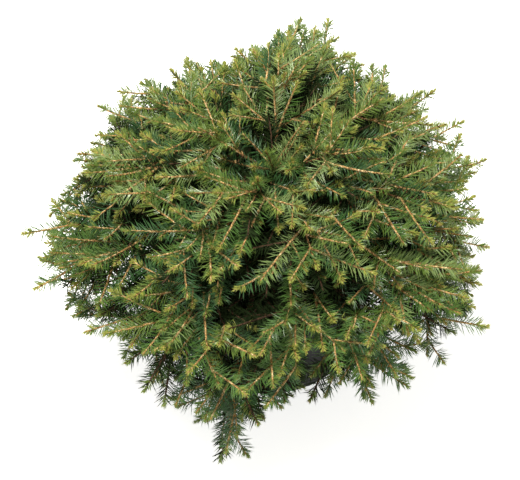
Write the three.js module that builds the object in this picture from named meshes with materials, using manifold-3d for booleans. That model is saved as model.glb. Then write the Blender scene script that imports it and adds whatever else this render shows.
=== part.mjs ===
// A dwarf nest spruce in a round nursery pot: pot, potting soil, short trunk, boughs and masses of needles.
// Millimetres, +Z up. The origin is the centre of the pot's flat underside, and the side with the hanging
// bough and the notch beside it looks along -Y. Boughs leave the trunk in tiers, and each carries one mass of
// foliage: a stem with twigs that branch by a seeded rule, and a toothed spray of needles on every twig.
import * as THREE from "three";
import { mergeVertices } from "three/addons/utils/BufferGeometryUtils.js";
import Module from "manifold-3d";

const wasm = await Module();
wasm.setup();

// Driving sizes of the pot and its soil.
const POT = {
  height: 140,
  footRadius: 80,
  rimRadius: 98,
  wall: 2,
  floor: 3,
  lip: 4.5,
  lipDepth: 12,
  stepHeight: 11,
  stepDepth: 2.2,
  holes: 6,
  holeRadius: 6,
  holeRing: 60,
  holeSides: 8,
  sides: 28,
};
const SOIL_TOP = 129;
const CLEARANCE = 0.3;

// Driving sizes of the wood.
const TRUNK = {
  tip: 206,
  footRadius: 12.5,
  tipRadius: 6,
  flare: 7,
  flareDepth: 9,
  roots: 4,
  rootShare: 0.35,
  lean: 4,
  sides: 12,
};
const BOUGH = { rootRadius: 2.9, tipRadius: 2.1, segments: 4, sides: 5 };
const STEM = { rootRadius: 2.1, tipRadius: 1.1, segments: 3, sides: 4, end: 0.72, sunk: 0.02 };
const TWIG = { halfWidth: 1.8, depth: 2.6 };

// Tiers of foliage: how many masses each has, and the first one's direction in degrees round the trunk. A
// base and a tip are [distance from the trunk's axis, height]; leave is the height at which the boughs leave
// the trunk, arch lifts the middle of a bough and sag lifts the middle of a stem. A mass reaches wide to each
// side of its stem, and thick above and below it. The top tier's stems grow from the trunk itself.
const TIERS = [
  {
    name: "low",
    count: 9,
    first: -99,
    leave: 150,
    base: [106, 160],
    tip: [170, 84],
    arch: 8,
    sag: 22,
    wide: 56,
    thick: 26,
  },
  {
    name: "middle",
    count: 9,
    first: -80,
    leave: 168,
    base: [54, 183],
    tip: [199, 146],
    arch: 6,
    sag: 16,
    wide: 60,
    thick: 24,
  },
  {
    name: "upper",
    count: 7,
    first: -70,
    leave: 186,
    base: [26, 200],
    tip: [144, 216],
    arch: 3,
    sag: 18,
    wide: 58,
    thick: 26,
  },
  { name: "top", count: 4, first: -100, base: [3.6, 205], tip: [78, 250], sag: 8, wide: 54, thick: 26 },
];
const STAGGER = 2.5;
const SWAY = 3;
const UNEVEN = 0.04;

// The room that the whole crown fills: a dome above its waist, which is its widest height, and tucked in
// below. The middle of the crown stands a little off the pot's middle.
const CROWN = { radius: 207, waist: 144, rise: 122, tuck: 0.45, lowest: 76, offset: -6 };

// Places where the crown departs from a round one: the hanging bough and the notch beside it, the high bough
// at the back, the longest bough at the right, and shorter boughs between.
const LUMPS = [
  { azimuth: -101, width: 12, out: 8, up: 0, down: 40 },
  { azimuth: -76, width: 12, out: -42, up: 0, down: -34 },
  { azimuth: 72, width: 18, out: 14, up: 24, down: 0 },
  { azimuth: 103, width: 9, out: -9, up: -7, down: 0 },
  { azimuth: 125, width: 10, out: -10, up: -7, down: 0 },
  { azimuth: 163, width: 9, out: -13, up: -4, down: 0 },
  { azimuth: -134, width: 10, out: -8, up: 0, down: 0 },
  { azimuth: 2, width: 9, out: -6, up: -2, down: 0 },
  { azimuth: 33, width: 12, out: -4, up: -3, down: 0 },
  { azimuth: -33, width: 8, out: 4, up: 0, down: 0 },
];

// The branching rule of one mass. Stations stand about a pitch apart on the stem, from the first one to the
// last. Turns are degrees round the stem from its upper side, and the share after a turn shortens that twig.
const SEED = 4100;
const STATIONS = { first: 0.04, last: 0.54, pitch: 26 };
const SIDEWAYS = [
  [84, 1],
  [-84, 1],
];
const UPWARD = [8, 0.7];
const DOWNWARD = [172, 0.6];
const TWIG_REACH = { root: 1.5, tip: 1.1 };
const SPREAD = { root: 58, tip: 42 };
const VARY = { turn: 14, spread: 7, reach: 0.14 };
const SHORTER = 0.93;
const OUTWARD_LEAN = 0.25;

// A spray is slim times as wide as it is long, has a rib of this depth and one tooth in so many millimetres.
const SPRAY = {
  length: 64,
  least: 26,
  onTwig: 0.85,
  slim: 0.6,
  depth: 5,
  notch: 0.42,
  narrow: 0.35,
  lean: 0.85,
  tooth: 19,
  tip: 0.55,
};

// The lump in the middle of a mass, as shares of the mass's length and width.
const CORE = {
  middle: 0.4,
  along: 0.43,
  aside: 0.95,
  fill: 0.76,
  rough: 0.14,
  taper: 0.15,
  boxy: 0.8,
  around: 8,
  rows: 4,
  ahead: 1,
  seed: 900,
};

// What keeps the pieces apart: the margin between two masses' spaces, and free room round pot and trunk.
const OWN_SPACE = 2.6;
const FLATNESS = 2;
const POT_ROOM = { aside: 9, above: 11 };
const POT_AIR = 3;
const TRUNK_ROOM = 3;
const LIMB_POINTS = 12;

const UP = new THREE.Vector3(0, 0, 1);
const radians = THREE.MathUtils.degToRad;

// A seeded generator of numbers from 0 to 1.
function seeded(seed) {
  let state = seed;
  return () => {
    state = (state + 0x6d2b79f5) | 0;
    let t = Math.imul(state ^ (state >>> 15), 1 | state);
    t = (t + Math.imul(t ^ (t >>> 7), 61 | t)) ^ t;
    return ((t ^ (t >>> 14)) >>> 0) / 4294967296;
  };
}

function around(random, width) {
  return (2 * random() - 1) * width;
}

function polar(azimuth, distance, height) {
  const angle = radians(azimuth);
  return new THREE.Vector3(distance * Math.cos(angle), distance * Math.sin(angle), height);
}

// The trunk's axis leans towards +X and curves back to upright.
function trunkAxis(height) {
  const share = (height - SOIL_TOP) / (TRUNK.tip - SOIL_TOP);
  return new THREE.Vector3(TRUNK.lean * Math.sin((share * Math.PI) / 2), 0, height);
}

// Booleans.

function toSolid(geometry) {
  const bare = geometry.index ? geometry.toNonIndexed() : geometry.clone();
  bare.deleteAttribute("normal");
  bare.deleteAttribute("uv");
  const merged = mergeVertices(bare, 1e-4);
  return new wasm.Manifold(
    new wasm.Mesh({
      numProp: 3,
      vertProperties: merged.attributes.position.array,
      triVerts: new Uint32Array(merged.index.array),
    }),
  );
}

function toGeometry(solid) {
  const mesh = solid.getMesh();
  const geometry = new THREE.BufferGeometry();
  geometry.setAttribute("position", new THREE.BufferAttribute(mesh.vertProperties, 3));
  geometry.setIndex(new THREE.BufferAttribute(mesh.triVerts, 1));
  geometry.computeVertexNormals();
  return geometry;
}

function largest(solid) {
  return solid.decompose().sort((a, b) => b.volume() - a.volume())[0];
}

// Shapes.

// A closed tube through rings of points: every ring turns the same way round the line from first to last.
function tubeGeometry(rings) {
  const sides = rings[0].length;
  const faces = [];
  for (let ring = 1; ring < rings.length; ring++)
    for (let s = 0; s < sides; s++) {
      const a = (ring - 1) * sides + s;
      const b = (ring - 1) * sides + ((s + 1) % sides);
      faces.push(a, b, b + sides, a, b + sides, a + sides);
    }
  const last = (rings.length - 1) * sides;
  for (let s = 1; s < sides - 1; s++) faces.push(0, s + 1, s, last, last + s, last + s + 1);
  return new THREE.BufferGeometry().setFromPoints(rings.flat()).setIndex(faces);
}

// A tapering limb along the part of a curve from its start to a share of it.
function limbGeometry(curve, end, { segments, sides, rootRadius, tipRadius }) {
  const frames = curve.computeFrenetFrames(segments, false);
  const rings = frames.normals.map((normal, i) => {
    const share = i / segments;
    const centre = curve.getPoint(end * share);
    const radius = rootRadius + (tipRadius - rootRadius) * share;
    return Array.from({ length: sides }, (_, s) => {
      const angle = (2 * Math.PI * s) / sides;
      return centre
        .clone()
        .addScaledVector(normal, radius * Math.cos(angle))
        .addScaledVector(frames.binormals[i], radius * Math.sin(angle));
    });
  });
  return tubeGeometry(rings);
}

// The outline of one side of a spray: [distance aside, distance along, height of the rib there] for each
// point of the edge. It starts with the bare twig, and then a notch and a tooth take turns. A tooth has no
// rib beside it.
function sprayOutline(spray) {
  const bare = spray.reach - spray.length;
  const teeth = Math.max(2, Math.floor(spray.length / SPRAY.tooth));
  const step = spray.length / (teeth + SPRAY.tip);
  const outline = [[TWIG.halfWidth, 0, TWIG.depth]];
  for (let i = 0; i <= teeth; i++) {
    const half = (spray.width / 2) * (1 - SPRAY.narrow * (i / teeth) ** 2);
    const notch = i ? half * SPRAY.notch : TWIG.halfWidth;
    outline.push([notch, bare + i * step, SPRAY.depth * (1 - (0.4 * i) / teeth)]);
    if (i < teeth) outline.push([half, bare + (i + SPRAY.lean) * step, 0]);
  }
  return outline;
}

function sprayPlace(spray, aside, along, height) {
  return spray.point
    .clone()
    .addScaledVector(spray.side, aside)
    .addScaledVector(spray.along, along)
    .addScaledVector(spray.up, height);
}

// A toothed spray of needles on its twig: flat below, with a raised rib along the middle above and teeth
// that lean forward.
function sprayGeometry(spray) {
  const outline = sprayOutline(spray);
  const last = outline.length - 1;
  const isTooth = (i) => outline[i][2] === 0;
  const points = [];
  const faces = [];
  const add = (aside, along, height) => points.push(sprayPlace(spray, aside, along, height)) - 1;
  const right = outline.map(([aside, along]) => add(aside, along, 0));
  const left = outline.map(([aside, along]) => add(-aside, along, 0));
  const ribs = outline.map(([, along, height], i) => (isTooth(i) ? -1 : add(0, along, height)));
  const apex = add(0, spray.reach, 0);
  const onBothSides = (a, b, c) => {
    faces.push(a(right), b(right), c(right), a(left), c(left), b(left));
  };
  const rib = (i) => () => ribs[i];
  const edge = (i) => (side) => side[i];
  const bridge = (i, j) => faces.push(right[i], left[i], left[j], right[i], left[j], right[j]);
  for (let i = 1; i <= last; i++) {
    if (isTooth(i)) {
      onBothSides(rib(i - 1), edge(i - 1), edge(i));
      onBothSides(rib(i - 1), edge(i), rib(i + 1));
      onBothSides(edge(i - 1), edge(i + 1), edge(i));
      bridge(i - 1, i + 1);
    } else {
      onBothSides(rib(i), edge(i - 1), edge(i));
      if (!isTooth(i - 1)) onBothSides(rib(i - 1), edge(i - 1), rib(i));
    }
  }
  onBothSides(rib(last), edge(last), () => apex);
  bridge(0, 1);
  faces.push(right[last], left[last], apex, right[0], ribs[0], left[0]);
  return new THREE.BufferGeometry().setFromPoints(points).setIndex(faces);
}

// A rough lump that fills the middle of a mass: each of its points stops short of the neighbours' space and
// of the bough's end.
function coreGeometry(mass, owner, limbs) {
  const random = seeded(mass.seed + CORE.seed);
  const at = frameAt(mass, CORE.middle);
  const root = frameAt(mass, 0);
  const sphere = new THREE.SphereGeometry(1, CORE.around, CORE.rows).rotateX(Math.PI / 2);
  sphere.deleteAttribute("normal");
  sphere.deleteAttribute("uv");
  const geometry = mergeVertices(sphere, 1e-4);
  const position = geometry.getAttribute("position");
  for (let i = 0; i < position.count; i++) {
    const [aside, along, over] = [position.getX(i), position.getY(i), position.getZ(i)].map(
      (share) => Math.sign(share) * Math.abs(share) ** CORE.boxy,
    );
    const way = new THREE.Vector3()
      .addScaledVector(at.side, aside * CORE.aside * mass.tier.wide * (1 - CORE.taper * along))
      .addScaledVector(at.along, along * CORE.along * mass.length)
      .addScaledVector(at.up, over * mass.tier.thick);
    const fits = (share) => {
      const point = at.point.clone().addScaledVector(way, share);
      return inOwnSpace(point, owner, limbs) && point.sub(root.point).dot(root.along) > CORE.ahead;
    };
    let share = 1 / CORE.fill;
    while (share > 0.1 && !fits(share)) share -= 0.05;
    const point = at.point.clone().addScaledVector(way, CORE.fill * share * (1 - random() * CORE.rough));
    position.setXYZ(i, point.x, point.y, point.z);
  }
  return geometry;
}

// The crown's rule.

function lumpOf(azimuth) {
  const lump = { out: 0, up: 0, down: 0 };
  for (const { azimuth: middle, width, out, up, down } of LUMPS) {
    const off = ((((azimuth - middle) % 360) + 540) % 360) - 180;
    const share = Math.exp(-((off / width) ** 2));
    lump.out += out * share;
    lump.up += up * share;
    lump.down += down * share;
  }
  return lump;
}

function inCrown(point) {
  const aside = point.x - CROWN.offset;
  const lump = lumpOf(THREE.MathUtils.radToDeg(Math.atan2(point.y, aside)));
  const distance = Math.hypot(aside, point.y);
  const radius = CROWN.radius + lump.out;
  const above = point.z - CROWN.waist;
  if (above > 0) return Math.hypot(distance / radius, above / (CROWN.rise + lump.up)) < 1;
  return distance < radius + CROWN.tuck * above && point.z > CROWN.lowest - lump.down;
}

// One mass: its bough's curve, its stem's curve and its own generator of random numbers.
function layOutMass(tier, k, seed) {
  const random = seeded(seed);
  const azimuth = tier.first + (360 * k) / tier.count + around(random, SWAY);
  const lump = lumpOf(azimuth);
  const [baseOut, baseUp] = tier.base;
  const [tipOut, tipUp] = tier.tip;
  const reach = (tipOut - baseOut) * (1 + around(random, UNEVEN)) + lump.out;
  const shift = tipUp > CROWN.waist ? lump.up : Math.min(0, -lump.down);
  const base = polar(azimuth, baseOut, baseUp).add(trunkAxis(TRUNK.tip).setZ(0));
  const tip = polar(azimuth, baseOut + reach, tipUp + shift);
  tip.x += CROWN.offset;
  const middle = base.clone().lerp(tip, 0.5).addScaledVector(UP, tier.sag);
  const stem = new THREE.QuadraticBezierCurve3(base, middle, tip);
  const bough = tier.leave ? layOutBough(tier, k, stem) : null;
  return { name: `${tier.name}_${k + 1}`, tier, seed, random, stem, bough, length: base.distanceTo(tip) };
}

// A bough leaves the trunk and arches over to its stem, which it meets end to end with a hair's gap.
function layOutBough(tier, k, stem) {
  const start = trunkAxis(tier.leave + (k % 2 ? STAGGER : -STAGGER));
  const heading = stem.getTangent(0).normalize();
  const end = stem.getPoint(0).addScaledVector(heading, -CLEARANCE);
  const third = start.distanceTo(end) / 3;
  const rise = start.clone().lerp(end, 1 / 3).addScaledVector(UP, tier.arch);
  return new THREE.CubicBezierCurve3(start, rise, end.clone().addScaledVector(heading, -third), end);
}

function layOutCrown() {
  let seed = SEED;
  return TIERS.flatMap((tier) => Array.from({ length: tier.count }, (_, k) => layOutMass(tier, k, seed++)));
}

// The frame of a direction: up is square to it, on its upper and slightly outward side.
function frameOf(point, along) {
  const outward = point.clone().setZ(0).normalize();
  const wanted = UP.clone().addScaledVector(outward, OUTWARD_LEAN);
  const up = wanted.addScaledVector(along, -wanted.dot(along)).normalize();
  return { point, along, up, side: along.clone().cross(up) };
}

function frameAt(mass, share) {
  return frameOf(mass.stem.getPoint(share), mass.stem.getTangent(share).normalize());
}

// Points on the middle lines of all limbs, each with the mass that it belongs to.
function limbPoints(masses) {
  return masses.flatMap((mass, owner) =>
    [mass.bough, mass.stem].filter(Boolean).flatMap((curve) =>
      curve.getPoints(LIMB_POINTS).map((point) => ({ owner, point })),
    ),
  );
}

function flatDistance(a, b) {
  return Math.hypot(a.x - b.x, a.y - b.y, FLATNESS * (a.z - b.z));
}

// True where a point is nearer to its own limb than to any other, and clear of the pot, trunk and ground.
// Heights count for more than distances aside, so that the spaces lie over one another like shingles.
function inOwnSpace(point, owner, limbs) {
  const distance = Math.hypot(point.x, point.y);
  const besidePot = distance < POT.rimRadius + POT.lip + POT_ROOM.aside;
  if (!inCrown(point)) return false;
  if (besidePot && point.z < POT.height + POT_ROOM.above) return false;
  if (distance < TRUNK.footRadius + TRUNK_ROOM && point.z < TRUNK.tip) return false;
  let own = Infinity;
  let other = Infinity;
  for (const limb of limbs) {
    const away = flatDistance(limb.point, point);
    if (limb.owner === owner) own = Math.min(own, away);
    else other = Math.min(other, away);
  }
  return own + OWN_SPACE < other;
}

// A spray fits where its tip and every point of its edge are in its mass's own space.
function sprayFits(spray, owner, limbs) {
  const edge = sprayOutline(spray).flatMap(([aside, along]) => [
    [aside, along],
    [-aside, along],
  ]);
  return [[0, spray.reach], ...edge].every(([aside, along]) =>
    inOwnSpace(sprayPlace(spray, aside, along, 0), owner, limbs),
  );
}

function sprayAlong(point, along, reach) {
  const length = Math.min(SPRAY.length, reach * SPRAY.onTwig);
  return { ...frameOf(point, along), reach, length, width: SPRAY.slim * length };
}

// The twig that a mass sends out at a station of its stem: its direction and how far it reaches.
function twigAt(mass, station, turn, share) {
  const { random, tier } = mass;
  const at = frameAt(mass, station);
  const angle = radians(turn + around(random, VARY.turn));
  const spread = radians(SPREAD.root + (SPREAD.tip - SPREAD.root) * station + around(random, VARY.spread));
  const shares = (TWIG_REACH.root + (TWIG_REACH.tip - TWIG_REACH.root) * station) * share;
  const reach = tier.wide * shares * (1 + around(random, VARY.reach));
  const out = at.up.clone().multiplyScalar(Math.cos(angle)).addScaledVector(at.side, Math.sin(angle));
  const along = at.along.clone().multiplyScalar(Math.cos(spread)).addScaledVector(out, Math.sin(spread));
  return { point: at.point, along, reach };
}

// The sprays of a mass: the leader at the stem's tip, and at each station two sideways and one upward or
// downward. One that leaves its mass's own space is made shorter until it fits, and left out where only a
// stub would.
function spraysOf(mass, owner, limbs) {
  const end = frameAt(mass, STEM.end);
  const ahead = mass.stem.getPoint(1).sub(end.point);
  const sprays = [sprayAlong(end.point, ahead.clone().normalize(), ahead.length())];
  const { first, last, pitch } = STATIONS;
  const steps = Math.max(2, Math.round(((last - first) * mass.length) / pitch));
  for (let i = 0; i <= steps; i++)
    for (const [turn, share] of [...SIDEWAYS, i % 2 ? DOWNWARD : UPWARD]) {
      const { point, along, reach } = twigAt(mass, first + ((last - first) * i) / steps, turn, share);
      let spray = sprayAlong(point, along, reach);
      while (spray.reach > SPRAY.least && !sprayFits(spray, owner, limbs))
        spray = sprayAlong(point, along, spray.reach * SHORTER);
      if (spray.reach > SPRAY.least) sprays.push(spray);
    }
  return sprays;
}

// The pieces.

function potRadius(height) {
  return POT.footRadius + (POT.rimRadius - POT.footRadius) * (height / POT.height);
}

function latheSolid(profile) {
  const points = profile.map(([distance, height]) => new THREE.Vector2(distance, height));
  return toSolid(new THREE.LatheGeometry(points, POT.sides).rotateX(Math.PI / 2));
}

function potSolid() {
  const { height, rimRadius, wall, floor, lip, lipDepth, stepHeight, stepDepth } = POT;
  const under = height - lipDepth;
  const overStep = stepHeight + stepDepth;
  let pot = latheSolid([
    [0, 0],
    [potRadius(0) - stepDepth, 0],
    [potRadius(stepHeight) - stepDepth, stepHeight],
    [potRadius(overStep), overStep],
    [potRadius(under), under],
    [potRadius(under) + lip, under],
    [rimRadius + lip, height],
    [rimRadius - wall, height],
    [potRadius(overStep) - wall, overStep],
    [potRadius(floor) - stepDepth - wall, floor],
    [0, floor],
  ]);
  for (let i = 0; i < POT.holes; i++) {
    const drill = new THREE.CylinderGeometry(POT.holeRadius, POT.holeRadius, 4 * floor, POT.holeSides);
    const place = polar((360 * (i + 0.5)) / POT.holes, POT.holeRing, floor / 2);
    pot = pot.subtract(toSolid(drill.rotateX(Math.PI / 2).translate(place.x, place.y, place.z)));
  }
  return pot;
}

function soilSolid() {
  const { wall, floor, stepHeight, stepDepth } = POT;
  const inside = wall + CLEARANCE * 1.2;
  const overStep = stepHeight + stepDepth;
  return latheSolid([
    [0, floor + CLEARANCE],
    [potRadius(floor) - stepDepth - inside, floor + CLEARANCE],
    [potRadius(overStep) - inside, overStep],
    [potRadius(SOIL_TOP) - inside, SOIL_TOP],
    [0, SOIL_TOP],
  ]);
}

// The trunk from its flat cut on the soil, over the root flare to its tip; grow makes it thicker all round.
function trunkSolid(grow) {
  const foot = SOIL_TOP + CLEARANCE;
  const overFlare = foot + TRUNK.flareDepth;
  const heights = [foot, foot + TRUNK.flareDepth * 0.4, overFlare, (foot + TRUNK.tip) / 2, TRUNK.tip + grow];
  const rings = heights.map((height) => {
    const share = (height - foot) / (TRUNK.tip - foot);
    const flare = TRUNK.flare * Math.max(0, (overFlare - height) / TRUNK.flareDepth) ** 2;
    const radius = TRUNK.footRadius + (TRUNK.tipRadius - TRUNK.footRadius) * share + grow;
    return Array.from({ length: TRUNK.sides }, (_, s) => {
      const angle = (2 * Math.PI * s) / TRUNK.sides;
      const root = radius + flare * (1 + TRUNK.rootShare * Math.cos(TRUNK.roots * angle));
      return polar((360 * s) / TRUNK.sides, root, 0).add(trunkAxis(height));
    });
  });
  return toSolid(tubeGeometry(rings));
}

function boughSolid(mass, trunk) {
  return largest(toSolid(limbGeometry(mass.bough, 1, BOUGH)).subtract(trunk));
}

// The room that foliage leaves free: the trunk's and, with some air round it, the pot's.
function keptFree(trunk) {
  const radius = POT.rimRadius + POT.lip + POT_AIR;
  const height = POT.height + POT_AIR;
  const aroundPot = new THREE.CylinderGeometry(radius, radius, height, POT.sides).rotateX(Math.PI / 2);
  return trunk.add(toSolid(aroundPot.translate(0, 0, height / 2)));
}

// The twig of every spray is sunk into the stem and the core, so that the mass is one solid.
function massSolid(mass, owner, limbs, free) {
  const stem = toSolid(limbGeometry(mass.stem, STEM.end + STEM.sunk, STEM));
  let solid = stem.add(toSolid(coreGeometry(mass, owner, limbs)));
  for (const spray of spraysOf(mass, owner, limbs)) solid = solid.add(toSolid(sprayGeometry(spray)));
  return largest(solid.subtract(free));
}

// The scene graph.

const BARK = new THREE.MeshStandardMaterial({ color: 0x6b4a30, roughness: 0.9, metalness: 0 });
const YOUNG_BARK = new THREE.MeshStandardMaterial({ color: 0x9a6335, roughness: 0.85, metalness: 0 });
const NEEDLES = new THREE.MeshStandardMaterial({ color: 0x3c5a2c, roughness: 0.6, metalness: 0 });
const PLASTIC = new THREE.MeshStandardMaterial({ color: 0x262724, roughness: 0.55, metalness: 0 });
const PEAT = new THREE.MeshStandardMaterial({ color: 0x37291f, roughness: 0.95, metalness: 0 });

// A named mesh with its own origin at a place in the plant.
function pieceAt(name, solid, material, place = new THREE.Vector3()) {
  const mesh = new THREE.Mesh(toGeometry(solid).translate(-place.x, -place.y, -place.z), material);
  mesh.name = name;
  mesh.position.copy(place);
  return mesh;
}

function makePlant() {
  const masses = layOutCrown();
  const limbs = limbPoints(masses);
  const trunkRoom = trunkSolid(CLEARANCE);
  const free = keptFree(trunkRoom);
  const boughs = new THREE.Group();
  const foliage = new THREE.Group();
  masses.forEach((mass, owner) => {
    const place = mass.stem.getPoint(0);
    if (mass.bough) boughs.add(pieceAt(`bough_${mass.name}`, boughSolid(mass, trunkRoom), YOUNG_BARK, place));
    foliage.add(pieceAt(`foliage_${mass.name}`, massSolid(mass, owner, limbs, free), NEEDLES, place));
  });
  const plant = new THREE.Group();
  plant.add(pieceAt("pot", potSolid(), PLASTIC));
  plant.add(pieceAt("soil", soilSolid(), PEAT));
  plant.add(pieceAt("trunk", trunkSolid(0), BARK));
  plant.add(boughs, foliage);
  return plant;
}

export default makePlant();
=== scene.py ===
"""The looks of a dwarf nest spruce in a round nursery pot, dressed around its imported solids.

The crown's own rule is written again here, in millimetres as in the part's source, and carried on to finer
shoots. Needles, twigs and buds are then set along the shoots by Geometry Nodes. Meshes are in metres.
"""

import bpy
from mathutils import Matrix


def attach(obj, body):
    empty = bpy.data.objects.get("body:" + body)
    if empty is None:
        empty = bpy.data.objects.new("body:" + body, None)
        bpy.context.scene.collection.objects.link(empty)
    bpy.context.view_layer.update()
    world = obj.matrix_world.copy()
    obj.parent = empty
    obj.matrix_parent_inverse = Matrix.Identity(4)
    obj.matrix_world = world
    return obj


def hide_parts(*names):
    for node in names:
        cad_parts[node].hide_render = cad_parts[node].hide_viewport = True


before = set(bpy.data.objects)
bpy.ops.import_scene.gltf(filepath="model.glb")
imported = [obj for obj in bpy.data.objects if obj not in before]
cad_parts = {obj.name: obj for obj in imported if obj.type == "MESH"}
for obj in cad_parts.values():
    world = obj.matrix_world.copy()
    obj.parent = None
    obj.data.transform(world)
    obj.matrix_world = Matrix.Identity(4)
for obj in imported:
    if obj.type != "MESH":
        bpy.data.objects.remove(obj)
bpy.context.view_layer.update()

import logging
import math
from dataclasses import dataclass, field
from enum import Enum

import bmesh
import bpy
import numpy as np
from mathutils import Matrix, Vector, noise

logging.basicConfig(level=logging.INFO, format="%(message)s")
log = logging.getLogger("spruce")

MM = 0.001
BODY = "root"
UP = np.array([0.0, 0.0, 1.0])
FULL_TURN = 2 * math.pi
TINY = 1e-12

Socket = bpy.types.NodeSocket
Tube = tuple[list, list]


# Small helpers.


def linear(code: int) -> tuple[float, float, float, float]:
    """Turn a screen colour such as 0x6b4a30 into Blender's linear one.

    Args:
        code: Red, green and blue as one hexadecimal number.

    Returns:
        Linear red, green, blue and an alpha of one.
    """
    shares = [((code >> shift) & 255) / 255 for shift in (16, 8, 0)]
    bright = [s / 12.92 if s <= 0.04045 else ((s + 0.055) / 1.055) ** 2.4 for s in shares]
    return (*bright, 1.0)


def unit(vector: np.ndarray) -> np.ndarray:
    """Return the vector, or each row of an array, at length one."""
    return vector / np.maximum(np.linalg.norm(vector, axis=-1, keepdims=True), TINY)


def lerp(a: float, b: float, share: float) -> float:
    """Return the value at a share of the way from a to b."""
    return a + (b - a) * share


def polar(azimuth: float, distance: float, height: float) -> np.ndarray:
    """Return the point at an azimuth in degrees, a distance from the axis and a height."""
    angle = math.radians(azimuth)
    return np.array([distance * math.cos(angle), distance * math.sin(angle), height])


def span(start: np.ndarray, end: np.ndarray) -> float:
    """Return the distance from one point to another."""
    return float(np.linalg.norm(end - start))


class Seeded:
    """The source's seeded generator of numbers from 0 to 1."""

    MASK = 0xFFFFFFFF
    STEP = 0x6D2B79F5

    def __init__(self, seed: int) -> None:
        """Start at a seed."""
        self.state = seed

    def draw(self) -> float:
        """Step and mix the state, in whole numbers of 32 bits as the source does.

        Returns:
            The next number.
        """
        self.state = (self.state + self.STEP) & self.MASK
        t = ((self.state ^ (self.state >> 15)) * (1 | self.state)) & self.MASK
        t = ((t + (((t ^ (t >> 7)) * (61 | t)) & self.MASK)) ^ t) & self.MASK
        return ((t ^ (t >> 14)) & self.MASK) / (self.MASK + 1)

    def around(self, width: float) -> float:
        """Return a number between minus and plus a width."""
        return (2 * self.draw() - 1) * width


# The crown's rule, in millimetres, as the part's source has it.


@dataclass(frozen=True)
class PotSizes:
    """Driving sizes of the pot and its soil."""

    height: float = 140
    foot_radius: float = 80
    rim_radius: float = 98
    wall: float = 2
    floor: float = 3
    lip: float = 4.5
    lip_depth: float = 12
    step_height: float = 11
    step_depth: float = 2.2
    holes: int = 6
    hole_radius: float = 6
    hole_ring: float = 60
    soil_top: float = 129

    def radius(self, height: float) -> float:
        """Return the outer radius of the tapered wall at a height."""
        return lerp(self.foot_radius, self.rim_radius, height / self.height)


@dataclass(frozen=True)
class TrunkSizes:
    """Driving sizes of the trunk."""

    tip: float = 206
    foot_radius: float = 12.5
    tip_radius: float = 6
    flare: float = 7
    flare_depth: float = 9
    roots: int = 4
    root_share: float = 0.35
    lean: float = 4

    def axis(self, height: float, foot: float) -> np.ndarray:
        """Return the middle of the trunk at a height above the ground, for the height of its foot."""
        share = (height - foot) / (self.tip - foot)
        return np.array([self.lean * math.sin(share * math.pi / 2), 0.0, height])


@dataclass(frozen=True)
class Tier:
    """One tier of foliage masses: their count, directions and the reach of their stems."""

    name: str
    count: int
    first: float
    base: tuple[float, float]
    tip: tuple[float, float]
    sag: float
    wide: float
    leave: float | None = None
    arch: float = 0


@dataclass(frozen=True)
class Lump:
    """A place where the crown departs from a round one."""

    azimuth: float
    width: float
    out: float
    up: float = 0
    down: float = 0


TIERS = (
    Tier("low", 9, -99, (106, 160), (170, 84), 22, 56, leave=150, arch=8),
    Tier("middle", 9, -80, (54, 183), (199, 146), 16, 60, leave=168, arch=6),
    Tier("upper", 7, -70, (26, 200), (144, 216), 18, 58, leave=186, arch=3),
    Tier("top", 4, -100, (3.6, 205), (78, 250), 8, 54),
)
# The source's own lumps, and the finer ones that only needled shoots follow.
LUMPS = (
    Lump(azimuth=-101, width=12, out=8, down=40),
    Lump(azimuth=-76, width=12, out=-42, down=-34),
    Lump(azimuth=72, width=18, out=14, up=24),
    Lump(azimuth=103, width=9, out=-9, up=-7),
    Lump(azimuth=125, width=10, out=-10, up=-7),
    Lump(azimuth=163, width=9, out=-13, up=-4),
    Lump(azimuth=-134, width=10, out=-8),
    Lump(azimuth=2, width=9, out=-6, up=-2),
    Lump(azimuth=33, width=12, out=-4, up=-3),
    Lump(azimuth=-33, width=8, out=4),
)
DENTS = (
    Lump(azimuth=60, width=14, out=-12),
    Lump(azimuth=96, width=10, out=-22),
    Lump(azimuth=124, width=14, out=-30),
    Lump(azimuth=160, width=9, out=-28),
    Lump(azimuth=177, width=8, out=-8),
    Lump(azimuth=-138, width=12, out=-18),
    Lump(azimuth=-118, width=7, out=-4),
    Lump(azimuth=-101, width=9, out=14, down=14),
    Lump(azimuth=-86, width=9, out=12, down=24),
    Lump(azimuth=-72, width=13, out=14, down=26),
    Lump(azimuth=-44, width=5, out=-10),
    Lump(azimuth=-36, width=5, out=20),
    Lump(azimuth=2, width=9, out=-6),
    Lump(azimuth=42, width=10, out=-6),
)
POT = PotSizes()
TRUNK = TrunkSizes()


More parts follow.
